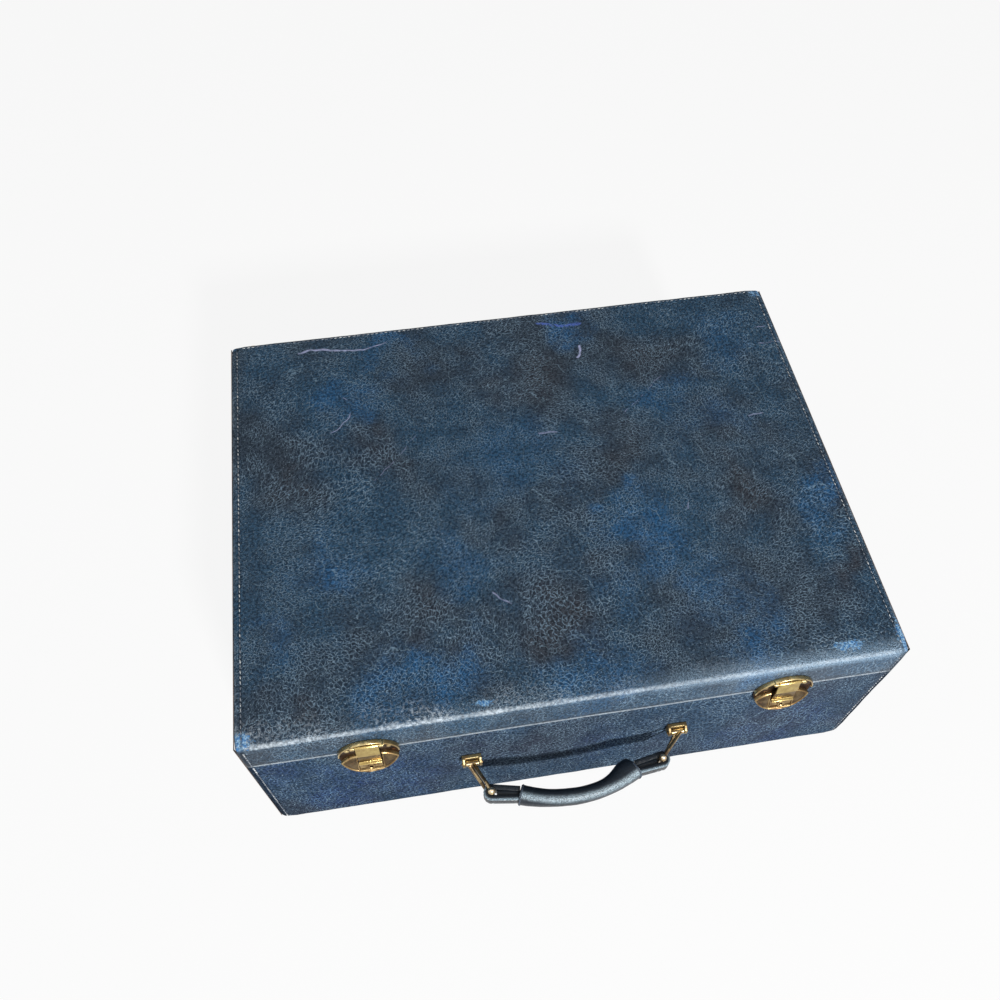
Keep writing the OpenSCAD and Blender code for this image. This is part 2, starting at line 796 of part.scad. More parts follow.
// A plate on the side wall with a headed post for the stay; up is 1 on the lid, -1 on the base
module stay_fixing(side, up) {
    color(steel) at_stay(side, up) {
        translate([side > 0 ? -stay_plate_t : 0, -stay_plate_w / 2, -stay_plate_h / 2])
            cube([stay_plate_t, stay_plate_w, stay_plate_h]);
        translate([-side * stay_post_len / 2, 0, 0]) x_rod(stay_post_r, stay_post_len);
        translate([-side * (stay_post_len + stay_head_t / 2), 0, 0]) x_rod(stay_head_r, stay_head_t);
    }
}

base_board();
base_cover();
base_lining();
base_binding();
feet(foot_z_base);  // base_feet
lid_board();
lid_cover();
lid_lining();
lid_binding();
feet(foot_z_lid);  // lid_feet
hinge_leaf(-1, -1);  // hinge_base_leaf_left
hinge_leaf(1, -1);  // hinge_base_leaf_right
hinge_leaf(-1, 1);  // hinge_lid_leaf_left
hinge_leaf(1, 1);  // hinge_lid_leaf_right
hinge_pin(-1);  // hinge_pin_left
hinge_pin(1);  // hinge_pin_right
leaf_rivets(-1);  // hinge_base_rivets
leaf_rivets(1);  // hinge_lid_rivets
lock_body(-1);  // lock_body_left
lock_body(1);  // lock_body_right
lock_slide(-1);  // lock_slide_left
lock_slide(1);  // lock_slide_right
lock_spring(-1);  // lock_spring_left
lock_spring(1);  // lock_spring_right
lock_back_plates();
lock_rivets();
lid_plate(-1);  // lid_plate_left
lid_plate(1);  // lid_plate_right
lid_plate_rivets();
hasp(-1);  // hasp_left
hasp(1);  // hasp_right
hasp_pin(-1);  // hasp_pin_left
hasp_pin(1);  // hasp_pin_right
handle_bracket(-1);  // handle_bracket_left
handle_bracket(1);  // handle_bracket_right
bracket_pin(-1);  // bracket_pin_left
bracket_pin(1);  // bracket_pin_right
bracket_back_plates();
handle_link(-1, pin_left);  // handle_link_left
handle_link(1, pin_right);  // handle_link_right
link_pins();
handle_strap();
grip_core();
grip_wrap();
stay_arm(-1);  // stay_arm_left
stay_arm(1);  // stay_arm_right
stay_fixing(-1, -1);  // stay_stud_left
stay_fixing(1, -1);  // stay_stud_right
stay_fixing(-1, 1);  // stay_pivot_left
stay_fixing(1, 1);  // stay_pivot_right
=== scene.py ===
import math

import bmesh
import bpy
from mathutils import Matrix, Vector, noise


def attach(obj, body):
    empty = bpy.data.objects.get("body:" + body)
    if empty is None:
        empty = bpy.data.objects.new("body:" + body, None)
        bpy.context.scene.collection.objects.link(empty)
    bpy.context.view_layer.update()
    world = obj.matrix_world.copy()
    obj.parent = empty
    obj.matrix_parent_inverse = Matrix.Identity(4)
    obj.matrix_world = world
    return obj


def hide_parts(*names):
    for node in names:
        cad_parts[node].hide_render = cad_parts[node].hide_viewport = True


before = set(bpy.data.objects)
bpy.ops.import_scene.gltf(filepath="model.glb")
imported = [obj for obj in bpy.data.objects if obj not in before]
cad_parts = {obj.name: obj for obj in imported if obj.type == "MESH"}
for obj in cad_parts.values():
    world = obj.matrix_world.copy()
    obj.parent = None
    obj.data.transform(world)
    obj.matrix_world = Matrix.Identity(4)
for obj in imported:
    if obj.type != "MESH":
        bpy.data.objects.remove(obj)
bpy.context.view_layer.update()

# The case is drawn in millimetres and finished in metres. The front faces -Y.
CASE_W, CASE_D, CASE_H, LID_H = 410, 311, 151, 31
SPLIT = CASE_H - LID_H
GAP = 0.4
HALVES = {"base": (0, SPLIT - GAP / 2), "lid": (SPLIT + GAP / 2, CASE_H)}
FRONT, BACK = -CASE_D / 2, CASE_D / 2
SIDE = CASE_W / 2
EDGE_R = 3.3
COVER_T = 1.2
SEAM_IN = 4.8
FOOT_IN, BASE_FOOT_Z, LID_FOOT_Z = 15, 14, 138.5
LOCK_X, LOCK_R, LOCK_OUT, LOCK_TILT = 130.5, 18.75, 2.6, math.radians(15.5)
CHANNEL_W, CHANNEL_END, CHANNEL_FLOOR = 14.7, -16.4, 1.4
HASP_W, HASP_PIN_OUT, HASP_PIN_Z = 14, 2.85, 15
LUG_W, LUG_GAP = 2.6, 0.35
LID_PLATE_T = 1.2
BRACKET_X, HANDLE_Z, BRACKET_PIN_OUT = 68.5, 76.5, 4.3
LINK_LEN, LEG_R, LEG_SPREAD, LEG_SHIFT = 24, 1.2, 1.5, 1.2
EYE_Z, EYE_R, EYE_T, EYE_PIN_R = 6.25, 2.5, 2.8, 1.5
STRAP_W, STRAP_T = 9, 2.8
LOOP_LEN, LOOP_R = 18, EYE_PIN_R + 0.7 + STRAP_T
GRIP_T, GRIP_H, GRIP_BOW = 12.4, 14.6, 12.4
SIDES = {"left": -1, "right": 1}

# An upright outline of (outwards, up) pairs that is given its width along the front.
ALONG_FRONT = Matrix(((0, 0, 1, 0), (-1, 0, 0, 0), (0, 1, 0, 0), (0, 0, 0, 1)))


def pin_place(side):
    """Where the pin at the outer end of a link stands, seen from above."""
    lean = math.radians(26 if side < 0 else 43)
    return Vector((
        side * (BRACKET_X + LEG_SHIFT) - side * LINK_LEN * math.sin(lean),
        FRONT - BRACKET_PIN_OUT - LINK_LEN * math.cos(lean),
        HANDLE_Z,
    ))


PINS = {side: pin_place(side) for side in (-1, 1)}
CHORD = PINS[1] - PINS[-1]
HANDLE_FRAME = Matrix.Translation((PINS[-1] + PINS[1]) / 2) @ Matrix.Rotation(
    math.atan2(CHORD.y, CHORD.x), 4, "Z"
)
GRIP_HALF = CHORD.length / 2 - LOOP_LEN
GRIP_END_OUT = GRIP_BOW * 0.32
GRIP_SAG = GRIP_BOW - GRIP_END_OUT
GRIP_ARC_R = (GRIP_HALF ** 2 + GRIP_SAG ** 2) / (2 * GRIP_SAG)
GRIP_TURN = math.asin(GRIP_HALF / GRIP_ARC_R)
GRIP_LIFT = 2.0
GRIP_SET = 0.9
GRIP_HEART = Vector((0, GRIP_ARC_R - GRIP_BOW, 0))


def end_lift(x):
    """How much nearer to the case the grip is here than its left half, on its way to its right end."""
    return GRIP_LIFT * max(0, x / GRIP_HALF) ** 1.6


def slimness(share):
    """How much of its full thickness the grip has, from its middle (0) to its ends (1)."""
    return 0.83 + 0.17 * min(1, share) ** 2.5


def loop_lay(side, clear=0.0):
    """How one end of the strap lies: its pin, where it leaves the grip, and the ways along and across it."""
    pin = Vector((side * CHORD.length / 2, 0, 0))
    root = Vector((side * GRIP_HALF, -GRIP_END_OUT + end_lift(side * GRIP_HALF), 0))
    root += Vector((side * math.cos(GRIP_TURN), math.sin(GRIP_TURN), 0)) * clear
    along = (pin - root).normalized()
    return pin, root, along, Vector((-along.y, along.x, 0))


def strap_edge(side):
    """The outer top edge of one of the strap's loops, from the grip to round the pin, in metres."""
    pin, root, along, across = loop_lay(side)
    outwards = across * -side
    turn = [math.radians(20 * i) for i in range(7)]
    path = [root + outwards * (LOOP_R - 1.1)]
    path += [pin + outwards * LOOP_R * math.cos(a) + along * LOOP_R * math.sin(a) for a in turn]
    top = Vector((0, 0, STRAP_W / 2 - 0.3))
    return [HANDLE_FRAME @ (at + top) / 1000 for at in path]


# Finishes


def tone(red, green, blue):
    """A colour as seen on a screen, turned into light."""
    return tuple(
        c / 12.92 if c <= 0.04045 else ((c + 0.055) / 1.055) ** 2.4
        for c in (red / 255, green / 255, blue / 255)
    )


def segment_distance():
    """A node group: how far a point is from a straight line between two points."""
    group = bpy.data.node_groups.new("line_distance", "ShaderNodeTree")
    for name in ("Point", "Start", "End"):
        group.interface.new_socket(name, in_out="INPUT", socket_type="NodeSocketVector")
    group.interface.new_socket("Distance", in_out="OUTPUT", socket_type="NodeSocketFloat")
    given = group.nodes.new("NodeGroupInput").outputs
    made = group.nodes.new("NodeGroupOutput").inputs

    def vector(operation, a, b, number=False):
        node = group.nodes.new("ShaderNodeVectorMath")
        node.operation = operation
        group.links.new(a, node.inputs[0])
        if b is not None:
            group.links.new(b, node.inputs[1])
        return node.outputs["Value" if number else "Vector"]

    from_start = vector("SUBTRACT", given["Point"], given["Start"])
    whole = vector("SUBTRACT", given["End"], given["Start"])
    share = group.nodes.new("ShaderNodeMath")
    share.operation, share.use_clamp = "DIVIDE", True
    group.links.new(vector("DOT_PRODUCT", from_start, whole, True), share.inputs[0])
    group.links.new(vector("DOT_PRODUCT", whole, whole, True), share.inputs[1])
    along = group.nodes.new("ShaderNodeVectorMath")
    along.operation = "SCALE"
    group.links.new(whole, along.inputs[0])
    group.links.new(share.outputs[0], along.inputs["Scale"])
    off = vector("SUBTRACT", from_start, along.outputs[0])
    group.links.new(vector("LENGTH", off, None, True), made["Distance"])
    return group


LINE_DISTANCE = segment_distance()


class Finish:
    """One material, built a node at a time. Values may be numbers, colours or sockets."""

    def __init__(self, name, roughness=0.5, metal=0.0, sheet=False, **plain):
        self.material = bpy.data.materials.new(name)
        self.material.use_nodes = True
        self.tree = self.material.node_tree
        self.shader = self.tree.nodes["Principled BSDF"]
        self.shader.inputs["Roughness"].default_value = roughness
        self.shader.inputs["Metallic"].default_value = metal
        for socket, value in plain.items():
            self.shader.inputs[socket.replace("_", " ")].default_value = value
        self.place = self.node("ShaderNodeTexCoord").outputs["Object"]
        self.flat = "2D" if sheet else "3D"
        self.at = self.node("ShaderNodeUVMap", uv_map="hide").outputs[0] if sheet else self.place

    def node(self, kind, inputs=None, **settings):
        made = self.tree.nodes.new(kind)
        for name, value in settings.items():
            setattr(made, name, value)
        for key, value in (inputs or {}).items():
            self.feed(made.inputs[key], value)
        return made

    def feed(self, socket, value):
        if isinstance(value, bpy.types.NodeSocket):
            self.tree.links.new(value, socket)
        elif isinstance(value, tuple) and len(value) == 3 and socket.type == "RGBA":
            socket.default_value = (*value, 1)
        else:
            socket.default_value = value

    def calc(self, operation, a, b=0.0):
        return self.node("ShaderNodeMath", {0: a, 1: b}, operation=operation).outputs[0]

    def chain(self, operation, values):
        total = values[0]
        for value in values[1:]:
            total = self.calc(operation, total, value)
        return total

    def add(self, *values):
        return self.chain("ADD", values)

    def times(self, *values):
        return self.chain("MULTIPLY", values)

    def most(self, values):
        return self.chain("MAXIMUM", values)

    def least(self, values):
        return self.chain("MINIMUM", values)

    def less(self, a, b):
        return self.calc("SUBTRACT", a, b)

    def vector(self, operation, a, b, out="Vector"):
        key = "Scale" if operation == "SCALE" else 1
        return self.node("ShaderNodeVectorMath", {0: a, key: b}, operation=operation).outputs[out]

    def fade(self, value, start, end, low=0.0, high=1.0):
        """low where value is start, high where it is end, and smooth between."""
        return self.node(
            "ShaderNodeMapRange",
            {"Value": value, "From Min": start, "From Max": end, "To Min": low, "To Max": high},
            interpolation_type="SMOOTHSTEP",
        ).outputs[0]

    def fade_mm(self, value, start, end, low=0.0, high=1.0):
        """A fade over a distance, with its start and end in millimetres."""
        return self.fade(value, start / 1000, end / 1000, low, high)

    def noise(self, scale, detail=2.0, rough=0.55, at=None, colour=False, shift=None):
        at = at or self.at
        if shift:
            at = self.vector("ADD", at, shift)
        return self.node(
            "ShaderNodeTexNoise", {"Vector": at, "Scale": scale, "Detail": detail, "Roughness": rough},
            noise_dimensions=self.flat,
        ).outputs["Color" if colour else "Fac"]

    def wander(self, scale, amount, at=None):
        """The place, pushed about by noise."""
        push = self.vector("SUBTRACT", self.noise(scale, 0.0, colour=True), (0.5, 0.5, 0.5))
        return self.vector("ADD", at or self.at, self.vector("SCALE", push, amount))

    def drawn(self, angle, stretch, at=None):
        """The place, drawn out along a direction, so that what is laid on it is long that way."""
        inputs = {"Vector": at or self.at, "Angle": -math.radians(angle)}
        turned = self.node("ShaderNodeVectorRotate", inputs, rotation_type="Z_AXIS").outputs[0]
        return self.vector("MULTIPLY", turned, (1 / stretch, 1, 1))

    def cells(self, scale, at=None):
        """How far the place is from the border of its cell, as a share of a cell."""
        return self.node(
            "ShaderNodeTexVoronoi", {"Vector": at or self.at, "Scale": scale}, feature="DISTANCE_TO_EDGE",
            voronoi_dimensions=self.flat,
        ).outputs["Distance"]

    def axes(self, at=None):
        return self.node("ShaderNodeSeparateXYZ", {0: at or self.place}).outputs

    def mix(self, amount, a, b):
        return self.node("ShaderNodeMix", {0: amount, 6: a, 7: b}, data_type="RGBA").outputs[2]

    def line(self, points, at):
        """How far the place is from a line through points."""
        stretches = [{"Point": at, "Start": a, "End": b} for a, b in zip(points, points[1:])]
        made = [self.node("ShaderNodeGroup", inputs, node_tree=LINE_DISTANCE) for inputs in stretches]
        return self.least([node.outputs[0] for node in made])

    def relief(self, height, distance, strength=1.0, under=None):
        inputs = {"Height": height, "Distance": distance, "Strength": strength}
        if under is not None:
            inputs["Normal"] = under
        return self.node("ShaderNodeBump", inputs).outputs[0]

    def done(self, colour, roughness=None, normal=None):
        self.feed(self.shader.inputs["Base Color"], colour)
        if roughness is not None:
            self.feed(self.shader.inputs["Roughness"], roughness)
        if normal is not None:
            self.feed(self.shader.inputs["Normal"], normal)
        return self.material


# The hide's own marks, in millimetres on the hide: across the case, and back from the middle of the top.
# The front face starts at -155.5 and goes down from there.
BLUE_SPOTS = [
    (55, -16, 12, 1.0), (62, -52, 36, 0.85), (-142, -38, 28, 0.9), (121, -135, 30, 0.8), (186, -42, 24, 0.9),
    (-82, -124, 26, 0.9), (42, 135, 24, 0.8), (-84, 133, 18, 0.7), (-120, 91, 24, 0.7), (121, 54, 32, 0.5),
    (-60, -60, 24, 0.5), (10, -140, 30, 0.6), (-185, -80, 20, 0.5), (90, -100, 26, 0.5), (-10, 20, 40, 0.35),
    (-110, -130, 30, 0.6), (160, 110, 26, 0.4),
]
BROWN_SPOTS = [
    (-3, -95, 38, 0.9), (137, -18, 30, 0.9), (-109, 53, 30, 0.9), (-4, 92, 36, 0.8), (-158, 35, 30, 0.8),
    (-90, -89, 28, 0.8), (187, -96, 22, 0.9), (85, 100, 30, 0.6), (60, 20, 24, 0.6), (-30, -30, 26, 0.5),
    (-180, -120, 22, 0.7), (140, 20, 26, 0.6),
]
BASE_BLUE_SPOTS = [
    (-152, -181.6, 30, 1.0), (155, -184, 34, 0.7), (-110, -191.2, 30, 0.8), (120, -164.2, 26, 0.5),
    (-190, -212.2, 24, 0.6), (20, -191.2, 30, 0.4),
]
BASE_BROWN_SPOTS = [
    (-60, -206.2, 30, 0.6), (70, -176.2, 34, 0.5), (-185, -167.2, 18, 0.7), (190, -170.2, 16, 0.7),
]
# each scratch has its points, its half width and its strength
SCRATCHES = [
    ([(-155.4, 141.2), (-146.5, 142.3), (-133.9, 141.9), (-120.8, 138.4)], 1.3, 0.8),
    ([(-120.8, 138.4), (-108.2, 137.0), (-98.3, 139.5), (-89.8, 142.3)], 0.9, 0.8),
    ([(52.9, 117.6), (53.4, 112.6), (51.9, 108.8), (49.1, 106.3)], 1.1, 0.95),
    ([(-120.8, 80.9), (-122.2, 75.7), (-128.3, 68.6), (-134.2, 64.2), (-140.0, 60.7)], 0.5, 0.7),
    ([(-125.2, 94.5), (-120.5, 89.1)], 0.5, 0.45),
    ([(158.9, 34.7), (169.7, 35.8)], 0.7, 0.4),
    ([(9.4, 41.4), (20.8, 41.4)], 1.0, 0.45),
    ([(-42.8, -76.7), (-38.5, -81.6), (-31.5, -85.5)], 0.9, 0.5),
    ([(189.2, 115.4), (202.7, 115.4)], 0.5, 0.7),
    ([(185.8, 99.5), (203.6, 98.9)], 0.5, 0.6),
    ([(100.1, -24.9), (96.1, -34.7)], 0.45, 0.5),
    ([(105.9, 80.1), (86.3, 61.4), (72.7, 50.6)], 0.4, 0.4),
    ([(-73.7, 56.7), (-93.5, 33.7), (-108.5, 19.3)], 0.4, 0.35),
]
SMEAR = [(25.7, 144.2), (36.6, 140.5), (46.3, 138.5), (57.3, 139.4)]
# scuffs through to a bright blue, each with its place, half length and half width
SCUFFS = [
    (168, -146, 8, 3.2), (203, -144, 3.4, 11), (-201, -150, 6, 6), (201, 152, 6, 5), (-58, -148, 5, 1.8),
]


def on_hide(points):
    return [(x / 1000, y / 1000, 0) for x, y in points]


def spots(f, wanted, at):
    """Soft round patches, each with a place, a radius in millimetres and a strength."""
    made = []
    for x, y, r, strength in wanted:
        off = f.vector("DISTANCE", at, (x / 1000, y / 1000, 0), "Value")
        made.append(f.fade_mm(off, r * 1.3, r * 0.2, 0.0, strength))
    return f.most(made)


def pebbled(f, size, drawn=1.5):
    """The leather's grain: pebbles drawn out along the hide, and fine long creases that run through them."""
    bent = f.wander(8, 0.06)
    shaken = f.wander(420 / size, 0.0013 * size, f.wander(120 / size, 0.0020 * size, bent))
    pebble = f.cells(620 / size, f.drawn(40, drawn * 1.4, shaken))
    crease = f.cells(125 / size, f.drawn(38, drawn * 1.7, f.wander(60 / size, 0.009 * size, shaken)))
    grain = f.fade(pebble, 0.02, 0.17)
    crease = f.times(
        f.fade(crease, 0.028, 0.005), f.fade(f.noise(44 / size, 3.0, shift=(1.3, 0.2, 0.7)), 0.40, 0.58)
    )
    return grain, crease, f.noise(1500 / size, 1.0)


def mottled(f, lid, rub, cloud, wide):
    """The hide's colour, with its brown and blue patches, and how blue each place is."""
    colour = f.mix(f.fade(cloud, 0.34, 0.64), tone(52, 63, 76), tone(47, 74, 98))
    loose = f.wander(75, 0.016, f.wander(24, 0.050))
    brown = f.times(
        spots(f, BROWN_SPOTS if lid else BASE_BROWN_SPOTS, loose), f.fade(wide, 0.25, 0.6, 0.5, 1.0)
    )
    colour = f.mix(brown, colour, tone(56, 58, 64) if lid else tone(54, 54, 66))
    blue = f.times(
        spots(f, BLUE_SPOTS if lid else BASE_BLUE_SPOTS, loose), f.fade(rub, 0.30, 0.62, 0.55, 1.0),
        f.fade(f.noise(70, 3.0, 0.6, shift=(8.0, 2.0, 0.0)), 0.34, 0.60, 0.40, 1.0),
    )
    colour = f.mix(blue, colour, tone(42, 88, 132) if lid else tone(46, 66, 110))
    if not lid:
        colour = f.mix(0.35, colour, tone(46, 48, 64))
    return colour, blue


def pale_bordered(f, lid, colour, blue, grain, crease, fine):
    """Pebbles that differ in tone, paler in their borders and in the creases: partly the leather's own tone
    and partly painted sheen.
    """
    deep = f.fade(f.noise(520, 1.0, shift=(4.0, 4.0, 0.0)), 0.60, 0.40, 0.0, 0.62)
    colour = f.mix(deep, colour, tone(16, 22, 31))
    least, most = (0.22, 1.0) if lid else (0.24, 0.8)
    uneven = f.fade(f.noise(44, 3.0, shift=(5.0, 0.0, 1.0)), 0.36, 0.62, least, most)
    broken = f.fade(f.noise(760, 1.0, shift=(7.0, 1.0, 0.0)), 0.34, 0.60, 0.25, 1.0)
    border = f.times(f.less(1.0, grain), uneven, broken, 0.90)
    # the pale borders and creases are partly the leather's own tone and partly painted sheen
    border_tone_and_sheen = f.mix(f.fade(fine, 0.35, 0.65), tone(88, 110, 130), tone(124, 146, 164))
    border_tone_and_sheen = f.mix(f.times(blue, 0.7), border_tone_and_sheen, tone(84, 134, 182))
    colour = f.mix(border, colour, border_tone_and_sheen)
    colour = f.mix(f.times(crease, f.fade(broken, 0.2, 0.6), 0.60), colour, tone(114, 138, 156))
    return colour, border


def front_edge_wear_and_sheen(f, colour, place, rub, wide, border, speck):
    """The lid's front edge is rubbed pale, most of all on the left, with a painted sheen over it and a
    painted highlight along its ridge.
    """
    x, y, z = place
    behind = f.add(y, BACK / 1000)
    below = f.less(CASE_H / 1000, z)
    off_edge = f.add(f.times(below, 1.3), behind)
    left = f.fade_mm(x, 30, -90)
    # painted sheen over the front edge, strongest towards the right
    soft = f.times(f.fade_mm(off_edge, 14, 1), f.fade_mm(x, 0, 120, 0.10, 0.74))
    soft = f.times(soft, f.fade(f.noise(1300, 2.0, 0.7, shift=(0.0, 6.0, 0.0)), 0.42, 0.58, 0.2, 1.15))
    colour = f.mix(soft, colour, tone(140, 164, 186))
    # a pale line along the ridge of the edge: partly wear and partly painted highlight
    ridge_wear_and_highlight = f.times(f.fade_mm(off_edge, 3.8, 1.9), f.fade(rub, 0.30, 0.60, 0.45, 1.0))
    colour = f.mix(f.times(ridge_wear_and_highlight, f.add(0.36, f.times(left, 0.22))), colour, tone(222, 232, 240))
    reach = f.times(f.fade_mm(behind, 22, 3), f.add(0.12, f.times(left, 0.34)))
    reach = f.times(reach, f.fade_mm(z, CASE_H - 3, CASE_H - 1))
    scuffed = f.most([f.times(border, 0.55), f.times(f.fade(rub, 0.50, 0.66), 0.8), f.times(speck, 0.8)])
    rubbed = f.times(scuffed, reach, f.fade(wide, 0.36, 0.60, 0.2, 1.4))
    return f.mix(rubbed, colour, tone(196, 208, 220))


def marked(f, colour, rub, fine):
    """The lid's scratches, its blue smear and its scuffs."""
    shaken = f.wander(130, 0.0022)
    for points, width, strength in SCRATCHES:
        off = f.line(on_hide(points), shaken)
        mark = f.times(f.fade_mm(off, width, width / 3.5), f.fade(rub, 0.30, 0.5, 0.35, strength))
        colour = f.mix(mark, colour, tone(164, 170, 206))
    off = f.line(on_hide(SMEAR), shaken)
    mark = f.times(f.fade_mm(off, 2.2, 0.2), f.fade(rub, 0.38, 0.55, 0.0, 0.8))
    colour = f.mix(mark, colour, tone(88, 112, 196))
    bared = f.mix(f.fade(f.noise(600), 0.35, 0.65), tone(66, 122, 180), tone(146, 184, 214))
    for x, y, long, wide in SCUFFS:
        off = f.vector("SUBTRACT", shaken, (x / 1000, y / 1000, 0))
        off = f.vector("MULTIPLY", off, (1000 / long, 1000 / wide, 0))
        off = f.node("ShaderNodeVectorMath", {0: off}, operation="LENGTH").outputs["Value"]
        mark = f.fade(f.add(off, f.times(rub, 2.4)), 2.45, 1.85, 0.0, 0.95)
        colour = f.mix(f.times(mark, f.fade(fine, 0.36, 0.54, 0.35, 1.0)), colour, bared)
    return colour


def case_leather(name, lid):
    """Mottled navy leather over board, with worn edges, a painted highlight along the split and painted sheen
    on the front.
    """
    f = Finish(name, 0.4, sheet=True, Specular_IOR_Level=0.02 if lid else 0.0)
    x, y, z = f.axes()
    grain, crease, fine = pebbled(f, 1.0)
    rub = f.noise(430, 3.0, 0.65)
    cloud = f.noise(12, 3.0, 0.6)
    wide = f.noise(26, 2.0, shift=(0.0, 3.0, 0.0))
    colour, blue = mottled(f, lid, rub, cloud, wide)
    colour, border = pale_bordered(f, lid, colour, blue, grain, crease, fine)
    speck = f.fade(f.noise(800, 1.0, shift=(2.0, 2.0, 2.0)), 0.70, 0.80)
    colour = f.mix(f.times(speck, 0.5), colour, tone(150, 170, 188))

    # how near the place is to an edge and to a corner of the case, which are worn
    near_x = f.less(SIDE / 1000, f.calc("ABSOLUTE", x))
    near_y = f.less(BACK / 1000, f.calc("ABSOLUTE", y))
    near_z = f.less(CASE_H / 1000, z) if lid else z
    total = f.add(near_x, near_y, near_z)
    edge = f.less(total, f.most([near_x, near_y, near_z]))
    worn = f.times(f.fade_mm(edge, 3.6, 1.2), f.fade(f.add(rub, f.times(wide, 0.5)), 0.70, 0.95))
    colour = f.mix(f.times(worn, 0.6), colour, tone(150, 168, 184))
    corner = f.times(f.fade_mm(total, 10, 4), f.fade(rub, 0.44, 0.60))
    colour = f.mix(f.times(corner, 0.6), colour, tone(92, 148, 200))

    # painted sheen: the front is paler towards the right
    paler = f.fade_mm(x, 0, 170, 0.0, 0.12 if lid else 0.06)
    right_sheen = f.times(f.fade_mm(y, FRONT + 2.5, FRONT + 0.5), paler)
    colour = f.mix(right_sheen, colour, tone(124, 142, 164) if lid else tone(112, 124, 144))

    # both have a pale rim at the split line, which is a painted highlight, and only the lid has a rubbed
    # front edge with painted sheen, and marks
    if lid:
        colour = front_edge_wear_and_sheen(f, colour, (x, y, z), rub, wide, border, speck)
        colour = marked(f, colour, rub, fine)
        at_front = f.fade_mm(y, FRONT + 5.5, FRONT + 1.5, 0.45, 1.0)
        rim = f.times(f.fade_mm(z, SPLIT + 2.4, SPLIT + 0.8), at_front)
    else:
        rim = f.fade_mm(z, SPLIT - 0.9, SPLIT - 0.3, 0.0, 0.35)
    colour = f.mix(f.times(rim, f.fade(rub, 0.30, 0.55, 0.55, 1.0)), colour, tone(198, 210, 222))

    # a corner seam has a dark strip outside it, and the leather dips along its stitches, with painted shade
    # in the dip
    strip = f.times(f.fade_mm(near_x, 4.6, 3.6), f.fade_mm(near_y, 3.0, 1.0), f.fade_mm(near_z, 1.2, 3.5))
    colour = f.mix(f.times(strip, 0.65), colour, tone(16, 19, 28))
    dip = f.fade_mm(f.calc("ABSOLUTE", f.less(near_x, SEAM_IN / 1000)), 1.2, 0.2)
    colour = f.mix(f.times(dip, 0.45), colour, tone(20, 24, 32))
    rough = f.fade(f.add(cloud, f.times(rub, 0.4)), 0.45, 0.95, 0.34, 0.50)
    height = f.add(f.times(grain, 0.7), f.times(fine, 0.25), f.times(crease, -0.8), f.times(dip, -1.2))
    normal = f.relief(height, 0.00030, 1.0, f.relief(cloud, 0.0022, 0.7))
    return f.done(colour, rough, normal)


def small_leather(name, shade, pale, size, roughness, gloss=0.0, worn=0.0, edges=()):
    """Leather of the handle, straps and turned edges. worn is how strong a speckled painted highlight is
    along the top of the grip's outer side, and edges are the lines along which the strap gets a painted
    highlight."""
    f = Finish(name, roughness, Specular_IOR_Level=0.24, Coat_Weight=gloss, Coat_Roughness=0.34)
    grain, crease, fine = pebbled(f, size, 1.2)
    rub = f.noise(520, 3.0, 0.65)
    colour = f.mix(f.fade(f.noise(90), 0.35, 0.65), shade, tuple(c * 1.5 for c in shade))
    # pale pebble borders: partly the leather's own tone and partly painted sheen
    colour = f.mix(f.times(f.less(1.0, grain), 0.3), colour, pale)
    colour = f.mix(f.times(f.fade(rub, 0.62, 0.74), 0.35), colour, pale)
    if edges:
        # a painted highlight along the outer top edge of each strap loop
        off = f.least([f.line(edge, f.place) for edge in edges])
        top = f.times(f.fade_mm(off, 1.6, 0.5), f.fade(f.noise(2200, 1.0), 0.40, 0.58, 0.15, 1.0))
        colour = f.mix(f.times(top, 0.75), colour, tone(156, 178, 192))
    if worn:
        # a speckled painted highlight in a band along the top of the grip's outer side
        heart = HANDLE_FRAME @ GRIP_HEART
        flat = f.vector("MULTIPLY", f.place, (1, 1, 0))
        out = f.vector("DISTANCE", flat, (heart.x / 1000, heart.y / 1000, 0), "Value")
        out = f.less(out, GRIP_ARC_R / 1000)
        above = f.fade_mm(f.axes()[2], HANDLE_Z, HANDLE_Z + 3)
        band = f.times(f.fade_mm(out, -1.6, 2.0), f.fade_mm(out, 4.6, 2.4), above)
        highlight_specks = f.fade(f.noise(1700, 1.0), 0.44, 0.60, 0.26, 1.0)
        colour = f.mix(f.times(band, highlight_specks, worn), colour, tone(174, 194, 206))
    height = f.add(f.times(grain, 0.7), f.times(fine, 0.2), f.times(crease, -0.3))
    rough = f.fade(rub, 0.3, 0.7, roughness - 0.08, roughness + 0.1)
    return f.done(colour, rough, f.relief(height, 0.00016 * size + 0.00002, 0.9))


def brass(name, bright, shade, roughness, grime):
    """Old brass: clouded between a bright and a darker tone, with dark and reddish spots, finely scratched.
    """
    f = Finish(name, roughness, 1.0)
    cloud = f.noise(150, 3.0, 0.6)
    colour = f.mix(f.fade(cloud, 0.35, 0.66), shade, bright)
    spotted = f.fade(f.noise(1000, 2.0, 0.6), 0.55, 0.72)
    colour = f.mix(f.times(spotted, grime), colour, tone(70, 50, 30))
    red = f.fade(f.noise(300, 2.0, shift=(3.0, 1.0, 0.0)), 0.58, 0.72)
    colour = f.mix(f.times(red, grime * 0.5), colour, tone(140, 88, 56))
    hairs = f.noise(40, 2.0, at=f.vector("MULTIPLY", f.place, (60, 3, 3)))
    rough = f.add(f.fade(cloud, 0.3, 0.7, roughness + 0.1, roughness - 0.06), f.times(spotted, 0.25))
    height = f.add(f.times(f.noise(800), 0.7), f.times(hairs, 0.4))
    return f.done(colour, rough, f.relief(height, 0.00006, 0.5))


